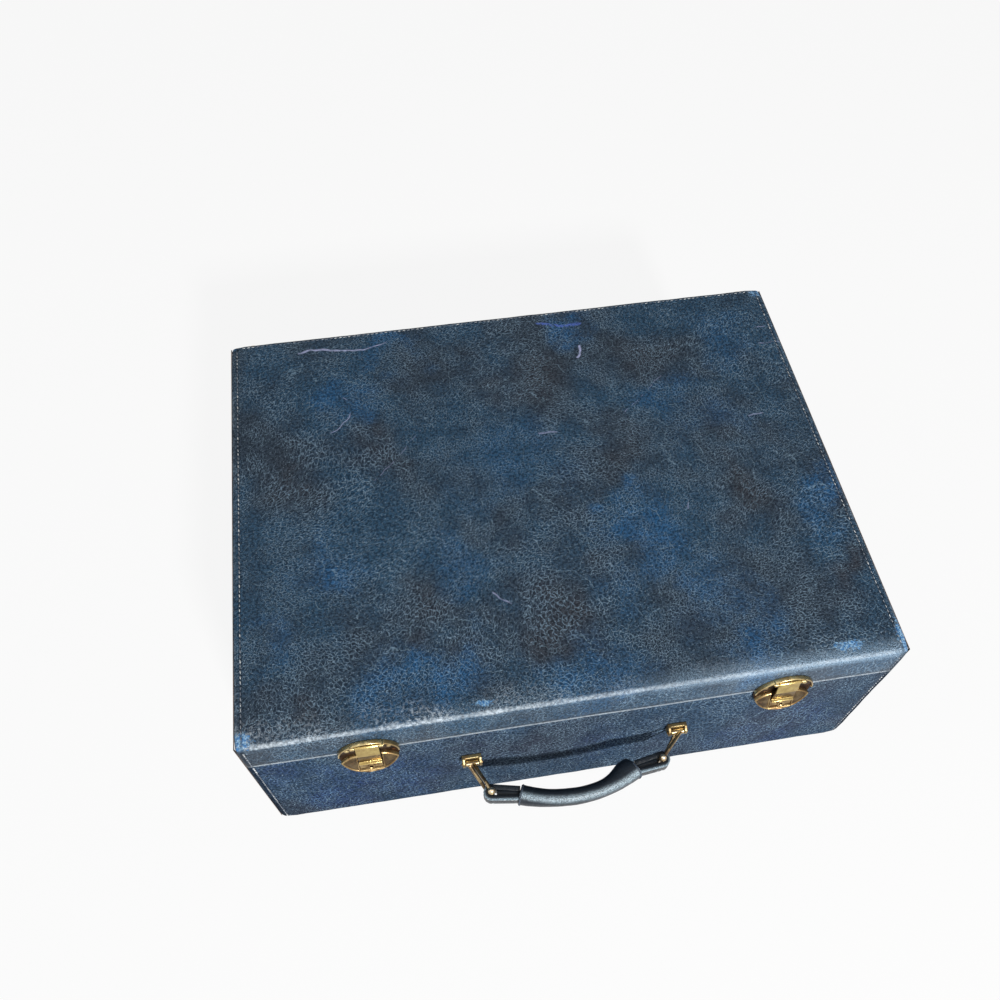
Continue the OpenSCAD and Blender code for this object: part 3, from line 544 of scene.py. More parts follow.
def steel():
    f = Finish("plated_steel", 0.34, 1.0)
    cloud = f.noise(160)
    colour = f.mix(f.fade(cloud, 0.4, 0.65), tone(140, 138, 134), tone(186, 184, 178))
    rust = f.fade(f.noise(500, 3.0, 0.65), 0.62, 0.72)
    colour = f.mix(f.times(rust, 0.5), colour, tone(112, 80, 56))
    hairs = f.noise(60, 2.0, at=f.vector("MULTIPLY", f.place, (4, 4, 60)))
    rough = f.add(0.28, f.times(cloud, 0.14), f.times(rust, 0.3))
    return f.done(colour, rough, f.relief(hairs, 0.00005, 0.5))


def woven_lining():
    """A plain weave, one thread over and one under, with slubs."""
    f = Finish("lining_cloth", 0.82, Sheen_Weight=0.25, Sheen_Roughness=0.5)
    x, y, z = f.axes(f.wander(30, 0.0006))
    pitch = 2 * math.pi / 0.0011
    weave = f.times(f.calc("SINE", f.times(f.add(x, z), pitch)), f.calc("SINE", f.times(f.add(y, z), pitch)))
    slub = f.noise(30, at=f.vector("MULTIPLY", f.place, (30, 1.2, 1.2)))
    colour = f.mix(f.fade(weave, -0.8, 0.8), tone(150, 136, 112), tone(190, 178, 152))
    colour = f.mix(f.fade(slub, 0.45, 0.7, 0.0, 0.16), colour, tone(204, 194, 170))
    stain = f.fade(f.noise(9, 3.0, 0.6), 0.5, 0.75, 0.0, 0.35)
    colour = f.mix(stain, colour, tone(140, 118, 88))
    return f.done(colour, None, f.relief(f.add(f.times(weave, 0.5), slub), 0.00015, 0.8))


def board_stock():
    f = Finish("board", 0.85)
    fibre = f.noise(90, 3.0, 0.7, at=f.vector("MULTIPLY", f.place, (1, 1, 9)))
    layer = f.noise(20, at=f.vector("MULTIPLY", f.place, (1, 1, 40)))
    colour = f.mix(f.fade(f.add(fibre, layer), 0.7, 1.3), tone(150, 120, 84), tone(188, 158, 116))
    return f.done(colour, None, f.relief(fibre, 0.0002, 0.6))


def raw_edge():
    """The cut, unfinished edge of the leather."""
    f = Finish("raw_leather", 0.8)
    fibre = f.noise(800, 3.0, 0.7)
    colour = f.mix(f.fade(fibre, 0.35, 0.65), tone(54, 44, 42), tone(120, 100, 88))
    colour = f.mix(f.fade(f.noise(70), 0.45, 0.65, 0.0, 0.7), colour, tone(30, 33, 42))
    return f.done(colour, None, f.relief(fibre, 0.0003, 0.8))


def thread():
    f = Finish("thread", 0.7)
    ply = f.noise(2200, at=f.vector("MULTIPLY", f.place, (1, 1, 3)))
    colour = f.mix(f.fade(f.noise(190, 2.0), 0.44, 0.64), tone(92, 100, 112), tone(204, 208, 210))
    colour = f.mix(f.fade(ply, 0.4, 0.7, 0.0, 0.5), colour, tone(70, 74, 84))
    return f.done(colour, None, f.relief(ply, 0.0001, 0.7))


STRAP_EDGES = [strap_edge(side) for side in (-1, 1)]
LID_LEATHER = case_leather("lid_leather", True)
BASE_LEATHER = case_leather("base_leather", False)
GRIP_LEATHER = small_leather("grip_leather", tone(9, 13, 19), tone(46, 64, 80), 0.36, 0.36, 0.08, 0.75)
STRAP_LEATHER = small_leather(
    "strap_leather", tone(7, 10, 15), tone(40, 54, 66), 0.36, 0.34, 0.08, edges=STRAP_EDGES
)
TRIM_LEATHER = small_leather("turned_leather", tone(32, 42, 56), tone(140, 152, 164), 0.6, 0.5)
BRIGHT_BRASS = brass("bright_brass", tone(204, 184, 134), tone(154, 130, 88), 0.26, 0.5)
HASP_BRASS = brass("hasp_brass", tone(200, 178, 116), tone(170, 146, 92), 0.26, 0.25)
OLD_BRASS = brass("old_brass", tone(176, 152, 108), tone(120, 96, 64), 0.30, 0.7)
LINK_BRASS = brass("link_brass", tone(172, 152, 116), tone(96, 80, 62), 0.30, 0.7)
BRACKET_BRASS = brass("bracket_brass", tone(158, 144, 106), tone(110, 94, 66), 0.42, 0.7)
PALE_BRASS = brass("pale_brass", tone(226, 210, 182), tone(186, 166, 134), 0.26, 0.2)
# painted shade for the lock's recesses: the field of each lid plate and the plates behind the wings
SHADE_BRASS = brass("brass_painted_shade", tone(64, 46, 32), tone(34, 24, 17), 0.5, 0.8)
BROWN_BRASS = brass("brown_brass", tone(116, 98, 70), tone(74, 60, 44), 0.42, 0.6)
HASP_SHADE = brass("hasp_shaded_brass", tone(124, 100, 60), tone(88, 70, 42), 0.42, 0.3)
# painted shade standing in for the keyhole
KEYHOLE_SHADE = brass("keyhole_painted_shade", tone(46, 32, 22), tone(22, 14, 10), 0.7, 0.3)
STEEL = steel()
LINING = woven_lining()
BOARD = board_stock()
RAW_EDGE = raw_edge()
THREAD = thread()


# Shaping


def as_mesh(bm, name):
    mesh = bpy.data.meshes.new(name)
    bm.to_mesh(mesh)
    bm.free()
    return mesh


def placed(name, data):
    obj = bpy.data.objects.new(name, data)
    bpy.context.scene.collection.objects.link(obj)
    return obj


def verts_in(geom):
    return [each for each in geom if isinstance(each, bmesh.types.BMVert)]


def edges_in(geom):
    return [each for each in geom if isinstance(each, bmesh.types.BMEdge)]


def ring_of(bm, points):
    """A closed ring of vertices and edges."""
    verts = [bm.verts.new(point) for point in points]
    return verts, [bm.edges.new(pair) for pair in zip(verts, verts[1:] + verts[:1])]


def slice_at(bm, place, across):
    """Cuts every face along a plane, so that a wall can bend there."""
    bmesh.ops.bisect_plane(bm, geom=bm.verts[:] + bm.edges[:] + bm.faces[:], plane_co=place, plane_no=across)


def painted(bm, finish_index):
    for face in bm.faces:
        face.material_index = finish_index
    return bm


def block(bm, low, high):
    low, high = Vector(low), Vector(high)
    place = Matrix.Translation((low + high) / 2) @ Matrix.Diagonal((*(high - low), 1))
    bmesh.ops.create_cube(bm, size=1, matrix=place)


def rod(bm, start, end, r, r_end=None, sides=32):
    """A round rod between two points. It tapers where it has a second radius."""
    start, end = Vector(start), Vector(end)
    turn = (end - start).to_track_quat("Z", "Y").to_matrix().to_4x4()
    bmesh.ops.create_cone(
        bm, cap_ends=True, segments=sides, radius1=r, radius2=r if r_end is None else r_end,
        depth=(end - start).length, matrix=Matrix.Translation((start + end) / 2) @ turn,
    )


def ball(bm, centre, r, sides=20):
    place = Matrix.Translation(centre)
    bmesh.ops.create_uvsphere(bm, u_segments=sides, v_segments=sides // 2, radius=r, matrix=place)


def soften(bm, width, segments=2, angle=30):
    """Rounds the edges that are sharper than an angle."""
    sharp = [e for e in bm.edges if e.is_manifold and e.calc_face_angle(0) > math.radians(angle)]
    bmesh.ops.bevel(
        bm, geom=sharp, offset=width, offset_type="OFFSET", segments=segments, profile=0.5,
        affect="EDGES", clamp_overlap=True, material=-1,
    )


def joined(*shapes):
    whole = bmesh.new()
    for shape in shapes:
        mesh = as_mesh(shape, "part")
        whole.from_mesh(mesh)
        bpy.data.meshes.remove(mesh)
    return whole


def moved(bm, place):
    bmesh.ops.transform(bm, matrix=place, verts=bm.verts)
    return bm


def turned(outline, place=None, steps=40):
    """A shape turned on a lathe round Z from an outline of (radius, height) pairs."""
    bm = bmesh.new()
    verts = [bm.verts.new((r, 0, h)) for r, h in outline]
    edges = [bm.edges.new(pair) for pair in zip(verts, verts[1:])]
    bmesh.ops.spin(
        bm, geom=verts + edges, cent=(0, 0, 0), axis=(0, 0, 1), angle=2 * math.pi, steps=steps, use_merge=True
    )
    bmesh.ops.remove_doubles(bm, verts=bm.verts, dist=0.001)
    return moved(bm, place) if place else bm


def both_ends(head):
    """A pin's outline, from the (radius, height) pairs of its upper end, which start on its axis."""
    return [(r, -h) for r, h in head] + head[::-1]


def prism(outline, depth, place=None):
    """A flat outline of (x, y) pairs, pulled up by a depth."""
    bm = bmesh.new()
    face = bm.faces.new([bm.verts.new((x, y, 0)) for x, y in outline])
    pulled = bmesh.ops.extrude_face_region(bm, geom=[face], use_keep_orig=True)["geom"]
    bmesh.ops.translate(bm, vec=(0, 0, depth), verts=verts_in(pulled))
    return moved(bm, place) if place else bm


def cast(bm, grain, smooth=3):
    """Melts overlapping shapes into one casting with soft hollows where they meet."""
    obj = placed("melt", as_mesh(bm, "melt"))
    mesh = obj.data
    melt = obj.modifiers.new("melt", "REMESH")
    melt.mode, melt.voxel_size = "VOXEL", grain
    shape = obj.evaluated_get(bpy.context.evaluated_depsgraph_get())
    out = bmesh.new()
    out.from_mesh(shape.to_mesh())
    shape.to_mesh_clear()
    bpy.data.objects.remove(obj)
    bpy.data.meshes.remove(mesh)
    for _ in range(smooth):
        bmesh.ops.smooth_vert(
            out, verts=out.verts, factor=0.5, use_axis_x=True, use_axis_y=True, use_axis_z=True
        )
    return out


def plate(columns, rows, left, right, low, high, out, back=0.0, hollow=None, dip=None):
    """An upright plate: sides at left(z) and right(z), a face that stands out(x, z), and a flat back.
    hollow(x, z) tells where the face has its second finish, and dip(x) how far its top edge is cut down."""
    bm = bmesh.new()
    bmesh.ops.create_grid(bm, x_segments=columns, y_segments=rows, size=1)
    for v in bm.verts:
        u, w = ((1 - math.cos(math.pi * (t + 1) / 2)) / 2 for t in v.co.xy)
        z = low + (high - low) * w
        x = left(z) + (right(z) - left(z)) * u
        # the dip moves z and z moves x, so the two are worked out in turns until they agree
        for _ in range(12 if dip else 0):
            z = low + (high - dip(x) - low) * w
            x = left(z) + (right(z) - left(z)) * u
        v.co = (x, -out(x, z), z)
    bmesh.ops.remove_doubles(bm, verts=bm.verts, dist=0.01)
    edges = [e for e in bm.edges if e.is_boundary]
    pulled = bmesh.ops.extrude_edge_only(bm, edges=edges)["geom"]
    for v in verts_in(pulled):
        v.co.y = -back
    bmesh.ops.contextual_create(bm, geom=edges_in(pulled))
    for face in bm.faces if hollow else ():
        at = face.calc_center_median()
        face.material_index = int(hollow(at.x, at.z)) if at.y < -0.3 else 0
    return bm


# the hide was stretched as it was drawn down the front and back, so its grain is longer there
WALL_DRAW = 0.6
WALL_BAND = 0.15


def lay_hide(obj, closed_z):
    """Gives a cover its own flat coordinates, in metres: the closed face in the middle, the walls
    folded out."""
    mesh = obj.data
    hide = mesh.uv_layers.new(name="hide")
    for face in mesh.polygons:
        flank = abs(face.normal.x) > 0.72
        for corner in face.loop_indices:
            at = mesh.vertices[mesh.loops[corner].vertex_index].co
            down = abs(at.z - closed_z / 1000) * (1.0 if flank else WALL_DRAW)
            across, back = at.x, at.y
            if flank:
                across = math.copysign(abs(at.x) + down, at.x)
            elif abs(at.y) > WALL_BAND:
                back = math.copysign(abs(at.y) + down, at.y)
            hide.data[corner].uv = (across, back)


def finished(bm, name, body, finish, angle=35, replaces=()):
    """Turns a shape into a piece of the scene, in metres, that rides on a body."""
    bmesh.ops.remove_doubles(bm, verts=bm.verts, dist=0.0004)
    bmesh.ops.recalc_face_normals(bm, faces=bm.faces)
    bmesh.ops.scale(bm, vec=(0.001, 0.001, 0.001), verts=bm.verts)
    mesh = as_mesh(bm, name)
    mesh.shade_smooth()
    mesh.set_sharp_from_angle(angle=math.radians(angle))
    for each in finish if isinstance(finish, tuple) else (finish,):
        mesh.materials.append(each)
    obj = placed(name, mesh)
    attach(obj, body)
    if replaces:
        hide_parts(*replaces)
    return obj


def dress(node, finish, width=0.0):
    """Gives a CAD node its finish, and rounds its edges a little."""
    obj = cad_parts[node]
    obj.data.materials.clear()
    obj.data.materials.append(finish)
    if width:
        weld = obj.modifiers.new("weld", "WELD")
        weld.merge_threshold = 0.000005
        bevel = obj.modifiers.new("soft_edges", "BEVEL")
        bevel.width, bevel.segments = width / 1000, 2
        bevel.limit_method, bevel.angle_limit = "ANGLE", math.radians(40)


# Case

# how far the leather's surface lies inside the case's box, and what makes it uneven
HIDE_STEP, HIDE_IN, LEAST_IN = 7, 0.26, 0.08
WAVE, BLUNT, BLUNT_REACH, DENT, DENT_REACH = 0.14, 1.1, 12, 0.35, 5


def cover(half, finish):
    """The leather over one half of the case: a box with one side open, softened and a little uneven."""
    low_z, high_z = HALVES[half]
    closed_z, open_z = (low_z, high_z) if half == "base" else (high_z, low_z)
    bm = bmesh.new()
    block(bm, (-SIDE, FRONT, low_z), (SIDE, BACK, high_z))
    bm.normal_update()
    away = math.copysign(1, open_z - closed_z)
    bmesh.ops.delete(bm, geom=[f for f in bm.faces if f.normal.z * away > 0.9], context="FACES")
    soften(bm, EDGE_R, 5)
    for axis, reach in ((Vector((1, 0, 0)), SIDE), (Vector((0, 1, 0)), BACK)):
        count = int(reach / HIDE_STEP)
        for i in range(-count, count + 1):
            slice_at(bm, axis * i * (reach - 4) / count, axis)
    rows = max(2, int((high_z - low_z) / HIDE_STEP))
    for i in range(1, rows):
        slice_at(bm, (0, 0, low_z + (high_z - low_z) * i / rows), (0, 0, 1))
    bm.normal_update()
    moves = []
    for v in bm.verts:
        wave = noise.fractal(v.co * 0.02 + Vector((3, 7, 1)), 1.0, 2.0, 3) * WAVE
        near = sorted((SIDE - abs(v.co.x), BACK - abs(v.co.y), abs(v.co.z - closed_z)))
        blunt = max(0.0, 1 - (near[0] + near[1] + near[2]) / BLUNT_REACH) * BLUNT
        dent = noise.noise(v.co * 0.09) * max(0.0, 1 - (near[0] + near[1]) / DENT_REACH) * DENT
        moves.append((v, -v.normal * max(LEAST_IN, HIDE_IN + wave + blunt + dent)))
    for v, move in moves:
        if abs(v.co.z - open_z) < 0.01:
            move.z = 0
        v.co += move
    piece = finished(bm, f"case_{half}_leather", half, finish, 60, [half + "_cover"])
    lay_hide(piece, closed_z)
    wall = piece.modifiers.new("thickness", "SOLIDIFY")
    wall.thickness, wall.offset, wall.use_even_offset = COVER_T / 1000, -1, True


def stitches(bm, start, end, face, pitch=3.4, length=2.6, r=0.40):
    """A row of stitches that lies on a face, from start to end."""
    start, end, face = Vector(start), Vector(end), Vector(face)
    along = (end - start).normalized()
    count = int((end - start).length / pitch)
    turn = Matrix((along, face.cross(along), face)).transposed().to_4x4()
    lengthwise = Matrix.Rotation(math.pi / 2, 4, "Y")
    for i in range(count):
        centre = start + (end - start) * (i + 0.5) / count
        wobble = noise.noise(centre * 0.31) * 0.25
        size = Matrix.Diagonal((length / 2 * (1 + wobble), r, r * 0.75, 1))
        skew = Matrix.Rotation(math.radians(7 + 10 * wobble), 4, "Z")
        place = Matrix.Translation(centre + face * 0.02) @ turn @ skew @ size @ lengthwise
        bmesh.ops.create_uvsphere(bm, u_segments=6, v_segments=5, radius=1, matrix=place)


def case_stitching(half):
    """The rows down the corners and along the sides, and on the lid also along its back edge."""
    low_z, high_z = HALVES[half]
    sink, shut_in, open_in = 0.36, 5, 1.5
    if half == "lid":
        up, flat_z, from_z, to_z = 1, high_z - sink, low_z + open_in, high_z - shut_in
    else:
        up, flat_z, from_z, to_z = -1, low_z + sink, low_z + shut_in, high_z - open_in
    bm = bmesh.new()
    for s in (-1, 1):
        x = s * (SIDE - SEAM_IN)
        for y, out in ((FRONT + sink, -1), (BACK - sink, 1)):
            stitches(bm, (x, y, from_z), (x, y, to_z), (0, out, 0), r=0.52)
        stitches(bm, (x, FRONT + 6, flat_z), (x, BACK - 6, flat_z), (0, 0, up))
    if half == "lid":
        stitches(bm, (-SIDE + 8, BACK - 3.4, flat_z), (SIDE - 8, BACK - 3.4, flat_z), (0, 0, up))
    finished(bm, half + "_stitching", half, THREAD, 60)


def raw_edges(half):
    """The cut edge of the wrapped leather, which shows as a line round each side panel."""
    low_z, high_z = HALVES[half]
    inset, width, bed, thick = EDGE_R - 0.7, 1.3, 0.5, 0.48
    shut_z, open_z = (high_z - inset, low_z + 0.3) if half == "lid" else (low_z + inset, high_z - 0.3)
    path = [(FRONT + inset, open_z), (FRONT + inset, shut_z), (BACK - inset, shut_z), (BACK - inset, open_z)]
    bm = bmesh.new()
    for s in (-1, 1):
        left, right = sorted((s * (SIDE - bed), s * (SIDE - bed + thick)))
        for (y0, z0), (y1, z1) in zip(path, path[1:]):
            low = (left, min(y0, y1) - width / 2, min(z0, z1) - width / 2)
            high = (right, max(y0, y1) + width / 2, max(z0, z1) + width / 2)
            part = bmesh.new()
            block(part, low, high)
            soften(part, 0.2, 1)
            bm = joined(bm, part)
    finished(bm, half + "_raw_edges", half, RAW_EDGE, 40)


cover("base", BASE_LEATHER)
cover("lid", LID_LEATHER)
for half in HALVES:
    dress(half + "_board", BOARD)
    dress(half + "_lining", LINING)
    dress(half + "_binding", TRIM_LEATHER)
    case_stitching(half)
for half in HALVES:
    raw_edges(half)


# Feet and hinges


def domed_feet(half, z):
    """Brass domes with a stepped foot, on the back wall."""
    outline = [(0, 0), (7.5, 0), (7.5, 0.5), (7.2, 0.9), (6.7, 1.1), (6.5, 1.5)]
    dome = [math.pi / 2 * i / 12 for i in range(1, 13)]
    outline += [(6.5 * math.cos(a), 1.5 + 6.0 * math.sin(a)) for a in dome]
    backwards = Matrix.Rotation(-math.pi / 2, 4, "X")
    places = [Matrix.Translation((s * (SIDE - FOOT_IN), BACK - 0.25, z)) for s in (-1, 1)]
    bm = joined(*(turned(outline, place @ backwards) for place in places))
    finished(bm, half + "_domed_feet", half, BRIGHT_BRASS, 30, [half + "_feet"])


domed_feet("base", BASE_FOOT_Z)
domed_feet("lid", LID_FOOT_Z)
for name in SIDES:
    for leaf in ("hinge_base_leaf_", "hinge_lid_leaf_"):
        dress(leaf + name, OLD_BRASS, 0.2)
    dress("hinge_pin_" + name, STEEL, 0.15)
    for piece in ("stay_arm_", "stay_stud_", "stay_pivot_"):
        dress(piece + name, STEEL, 0.2)
for rivets in ("hinge_base_rivets", "hinge_lid_rivets"):
    dress(rivets, OLD_BRASS, 0.25)
for hidden in ("lock_back_plates", "bracket_back_plates", "lock_rivets"):
    dress(hidden, STEEL, 0.15)


# Locks


def rimmed(edge, rim, bead, crown, spread):
    """How far a pressed face stands up at a distance from its edge: a rounded rim, then a crowned field."""
    if edge < rim:
        return bead * math.sin(math.pi * max(edge, 0) / rim) ** 0.7
    return crown * (1 - math.exp(-(edge - rim) / spread))


def lock_place(side):
    return Matrix.Translation((side * LOCK_X, FRONT, SPLIT))


def tilted(z):
    return LOCK_OUT - z * math.tan(LOCK_TILT)


def arc_x(z):
    return math.sqrt(max(LOCK_R ** 2 - z * z, 0))


def lock_body(name, side):
    """The fixed half: two crowned wings with rims, the rim below the catch, the channel's floor, and a plate
    in painted shade set back behind each wing.
    """
    half, top, rim_w = CHANNEL_W / 2, -0.9, 1.0
    tip = -math.sqrt(LOCK_R ** 2 - half ** 2)

    def dip(x):
        return 6.5 * (max(0, abs(x) - half) / (LOCK_R - half)) ** 2

    def wing_edge(x, z):
        return min(LOCK_R - math.hypot(x, z), abs(x) - half, 0.8 * (top - z - dip(x)))

    def wing_out(x, z):
        return tilted(z) - 0.6 + rimmed(wing_edge(x, z), rim_w, 0.6, 0.65, 2.0)

    def wing_hollow(x, z):
        return wing_edge(x, z) > rim_w

    def below_out(x, z):
        edge = min(LOCK_R - math.hypot(x, z), CHANNEL_END - z)
        return tilted(z) - 0.5 + rimmed(edge, 1.2, 0.5, 0.2, 1)

    shapes = []
    for s in (-1, 1):
        inner, outer = (lambda z: s * half), (lambda z: s * arc_x(z))
        sides = (inner, outer) if s > 0 else (outer, inner)
        shapes.append(plate(64, 64, *sides, tip, top, wing_out, hollow=wing_hollow, dip=dip))
        # behind each wing, a plate set back in painted shade where the gap under the lid plate is
        shapes.append(painted(plate(24, 12, *sides, -9, -GAP, lambda x, z: tilted(z) - 2.2), 2))
    inner, outer = (lambda z: -min(arc_x(z), half)), (lambda z: min(arc_x(z), half))
    shapes.append(plate(28, 8, inner, outer, -LOCK_R, CHANNEL_END, below_out))
    channel = bmesh.new()
    block(channel, (-half - 0.3, -CHANNEL_FLOOR, CHANNEL_END - 0.2), (half + 0.3, 0, -GAP))
    shapes.append(painted(channel, 1))
    bm = moved(joined(*shapes), lock_place(side))
    finish = (OLD_BRASS, BROWN_BRASS, SHADE_BRASS)
    finished(bm, "lock_wings_" + name, "base", finish, 40, ["lock_body_" + name])


def lid_plate(name, side):
    """The upper half: a half-round plate with a bold upright rim, its field inside the rim in painted shade,
    and two lugs for the hasp's pin.
    """
    rim_w = 1.05

    def face_out(x, z):
        edge = LOCK_R - math.hypot(x, z)
        if edge < rim_w:
            return LID_PLATE_T + 1.1 + rimmed(edge, rim_w, 0.45, 0.0, 1)
        foot = 0.9 * math.exp(-(edge - rim_w) / 0.35)
        return LID_PLATE_T - 0.25 + rimmed(z - GAP, 0.9, 0.3, 0.0, 1) + foot

    # the field inside the rim takes the painted shade finish
    def inside_rim(x, z):
        return LOCK_R - math.hypot(x, z) > 1.2

    shapes = [plate(64, 40, lambda z: -arc_x(z), arc_x, GAP, LOCK_R, face_out, hollow=inside_rim)]
    for x in (-HASP_W / 2 - LUG_GAP - LUG_W, HASP_W / 2 + LUG_GAP):
        lug = bmesh.new()
        rod(lug, (x, -HASP_PIN_OUT, HASP_PIN_Z), (x + LUG_W, -HASP_PIN_OUT, HASP_PIN_Z), 1.35)
        block(lug, (x, -HASP_PIN_OUT, HASP_PIN_Z - 1.3), (x + LUG_W, -0.4, HASP_PIN_Z + 1.3))
        shapes.append(cast(lug, 0.2, 2))
    bm = moved(joined(*shapes), lock_place(side))
    finish = (BRIGHT_BRASS, SHADE_BRASS)
    finished(bm, "lid_half_round_" + name, "lid", finish, 40, ["lid_plate_" + name])


def hasp(name, side):
    """The snap: a sloping panel that rolls round its pin, a knee, a near-upright panel and a lip."""
    pin, top, half = HASP_PIN_OUT, HASP_PIN_Z, HASP_W / 2
    outline = [
        (pin + 0.2, top + 1.25), (5.0, 5.0), (5.15, 4.5), (5.05, 4.0), (4.65, 3.7), (4.6, 3.3),
        (4.55, -5.7), (4.9, -6.2), (6.3, -6.3), (6.5, -6.55), (6.5, -7.4), (6.3, -7.7), (4.3, -7.8),
        (4.0, -7.5), (3.7, 3.0), (pin - 0.2, top - 1.2),
    ]
    panel = prism(outline, HASP_W, Matrix.Translation((-half, 0, 0)) @ ALONG_FRONT)
    soften(panel, 0.15, 2, 30)
    for face in panel.faces:
        face.material_index = int(-6.0 < face.calc_center_median().z < 3.8)
    barrel = bmesh.new()
    rod(barrel, (-half, -pin, top), (half, -pin, top), 1.32)
    soften(barrel, 0.2, 2)
    hook = bmesh.new()
    block(hook, (-3, -4.3, -4.5), (3, -2.3, -1.5))
    soften(hook, 0.3, 2)
    bm = moved(joined(panel, barrel, hook), lock_place(side))
    finish = (HASP_BRASS, HASP_SHADE)
    finished(bm, "snap_hasp_" + name, name + "_hasp", finish, 30, ["hasp_" + name])


def hasp_pin(name, side):
    end = HASP_W / 2 + LUG_W + LUG_GAP
    outline = both_ends([(0, end + 0.5), (0.35, end + 0.45), (0.62, end + 0.2), (0.65, end)])
    place = lock_place(side) @ Matrix.Translation((0, -HASP_PIN_OUT, HASP_PIN_Z))
    pin = turned(outline, place @ Matrix.Rotation(math.pi / 2, 4, "Y"), 20)
    finished(pin, "snap_pin_" + name, "lid", BRIGHT_BRASS, 30, ["hasp_pin_" + name])


def slide(name, side):
    """The sliding catch: a plate in the channel with a round, ringed escutcheon, and a keyhole shape on it in
    painted shade.
    """
    half, top, bottom, hole_z, back = CHANNEL_W / 2 - 0.35, -8.3, -14.1, -11.9, 1.8

    def face_out(x, z):
        edge = min(half - abs(x), top - z, z - bottom)
        return tilted(z) - 0.5 + rimmed(edge, 0.5, 0.1, 0.0, 1)

    panel = plate(30, 14, lambda z: -half, lambda z: half, bottom, top, face_out, back=back)
    for v in panel.verts:
        if abs(v.co.y + back) < 0.001:
            v.co.y = 1.2 - tilted(v.co.z)
    for s in (-1, 1):
        left, right = sorted((s * 2.2, s * (half - 0.1)))
        block(panel, (left, -4.2, bottom + 0.2), (right, -back, top - 0.2))
    ring = [
        (0.0, -0.5), (1.0, -0.5), (1.1, 0.45), (1.3, 0.62), (1.55, 0.5), (1.8, 0.42), (2.05, 0.62),
        (2.28, 0.5), (2.35, 0.1), (2.35, -0.9), (0, -0.9),
    ]
    on_face = Matrix.Translation((0, -tilted(hole_z) - 0.1, hole_z))
    rose = turned(ring, on_face @ Matrix.Rotation(math.pi / 2 - LOCK_TILT, 4, "X"), 36)
    bm = moved(joined(panel, rose), lock_place(side))
    finished(bm, "keyed_slide_" + name, name + "_slide", OLD_BRASS, 35, ["lock_slide_" + name])
    # the keyhole is a dark shape on the escutcheon: painted shade in place of a hole
    hole = bmesh.new()
    rod(hole, (0, -0.3, 0.35), (0, 0.1, 0.35), 0.62, sides=20)
    block(hole, (-0.36, -0.3, -1.0), (0.36, 0.1, 0.35))
    on_rose = Matrix.Translation((0, -tilted(hole_z) - 0.35, hole_z))
    moved(hole, lock_place(side) @ on_rose @ Matrix.Rotation(-LOCK_TILT, 4, "X"))
    finished(hole, "keyhole_" + name, name + "_slide", KEYHOLE_SHADE, 40)


def slide_spring(name, side):
    """The coil that lifts the catch, in the hollow behind it."""
    coil_r, wire_r, turns, tall, steps = 0.85, 0.16, 5, 3.6, 90
    bm = bmesh.new()
    around = [math.pi * i / 4 for i in range(8)]
    verts, edges = ring_of(bm, [(coil_r + wire_r * math.cos(a), 0, wire_r * math.sin(a)) for a in around])
    bmesh.ops.spin(
        bm, geom=verts + edges, cent=(0, 0, 0), axis=(0, 0, 1), angle=2 * math.pi * turns, steps=steps,
        dvec=(0, 0, tall / steps),
    )
    bmesh.ops.holes_fill(bm, edges=[e for e in bm.edges if e.is_boundary], sides=0)
    moved(bm, lock_place(side) @ Matrix.Translation((0, -3.0, CHANNEL_END + 0.2)))
    finished(bm, "slide_spring_" + name, "base", STEEL, 50, ["lock_spring_" + name])


def lid_rivets():
    """Two studs through each lid plate, with a head outside and one inside the lid."""
    head = [(0, 0), (1.6, 0), (1.6, 0.25), (1.3, 0.6), (0.7, 0.85), (0, 0.95)]
    shapes = []
    for side in (-1, 1):
        for x in (-12.6, 12.6):
            for y, turn in ((-0.9, math.pi / 2), (6.7, -math.pi / 2)):
                place = lock_place(side) @ Matrix.Translation((x, y, 6.6))
                shapes.append(turned(head, place @ Matrix.Rotation(turn, 4, "X"), 20))
    finished(joined(*shapes), "lid_plate_studs", "lid", BRIGHT_BRASS, 30, ["lid_plate_rivets"])


for name, side in SIDES.items():
    lock_body(name, side)
    lid_plate(name, side)
    hasp(name, side)
    hasp_pin(name, side)
    slide(name, side)
    slide_spring(name, side)
lid_rivets()


# Handle


def bracket(name, side):
    """A cast clevis: a back bar with two ears, and the pin through them that holds the link."""
    half, tall, ear_t = 6.4, 4.9, 1.85
    bm = bmesh.new()
    block(bm, (-half, -2.6, -tall), (half, 0.0, tall))
    edge = [(0, tall), (3.0, tall), (5.9, 2.6), (6.5, 1.0)]
    ear = edge + [(out, -up) for out, up in reversed(edge)]
    for x in (-half, half - ear_t):
        bm = joined(bm, prism(ear, ear_t, Matrix.Translation((x, 0, 0)) @ ALONG_FRONT))
    bm = cast(bm, 0.24, 7)
    moved(bm, Matrix.Translation((side * BRACKET_X, FRONT, HANDLE_Z)))
    finished(bm, "bracket_" + name, "base", BRACKET_BRASS, 40, ["handle_bracket_" + name])
    place = Matrix.Translation((side * BRACKET_X, FRONT - BRACKET_PIN_OUT, HANDLE_Z))
    outline = both_ends([(0, 7), (0.8, 6.9), (1.05, 6.6), (1.1, 6.3)])
    pin = turned(outline, place @ Matrix.Rotation(math.pi / 2, 4, "Y"), 24)
    finished(pin, "bracket_rod_" + name, "base", OLD_BRASS, 30, ["bracket_pin_" + name])


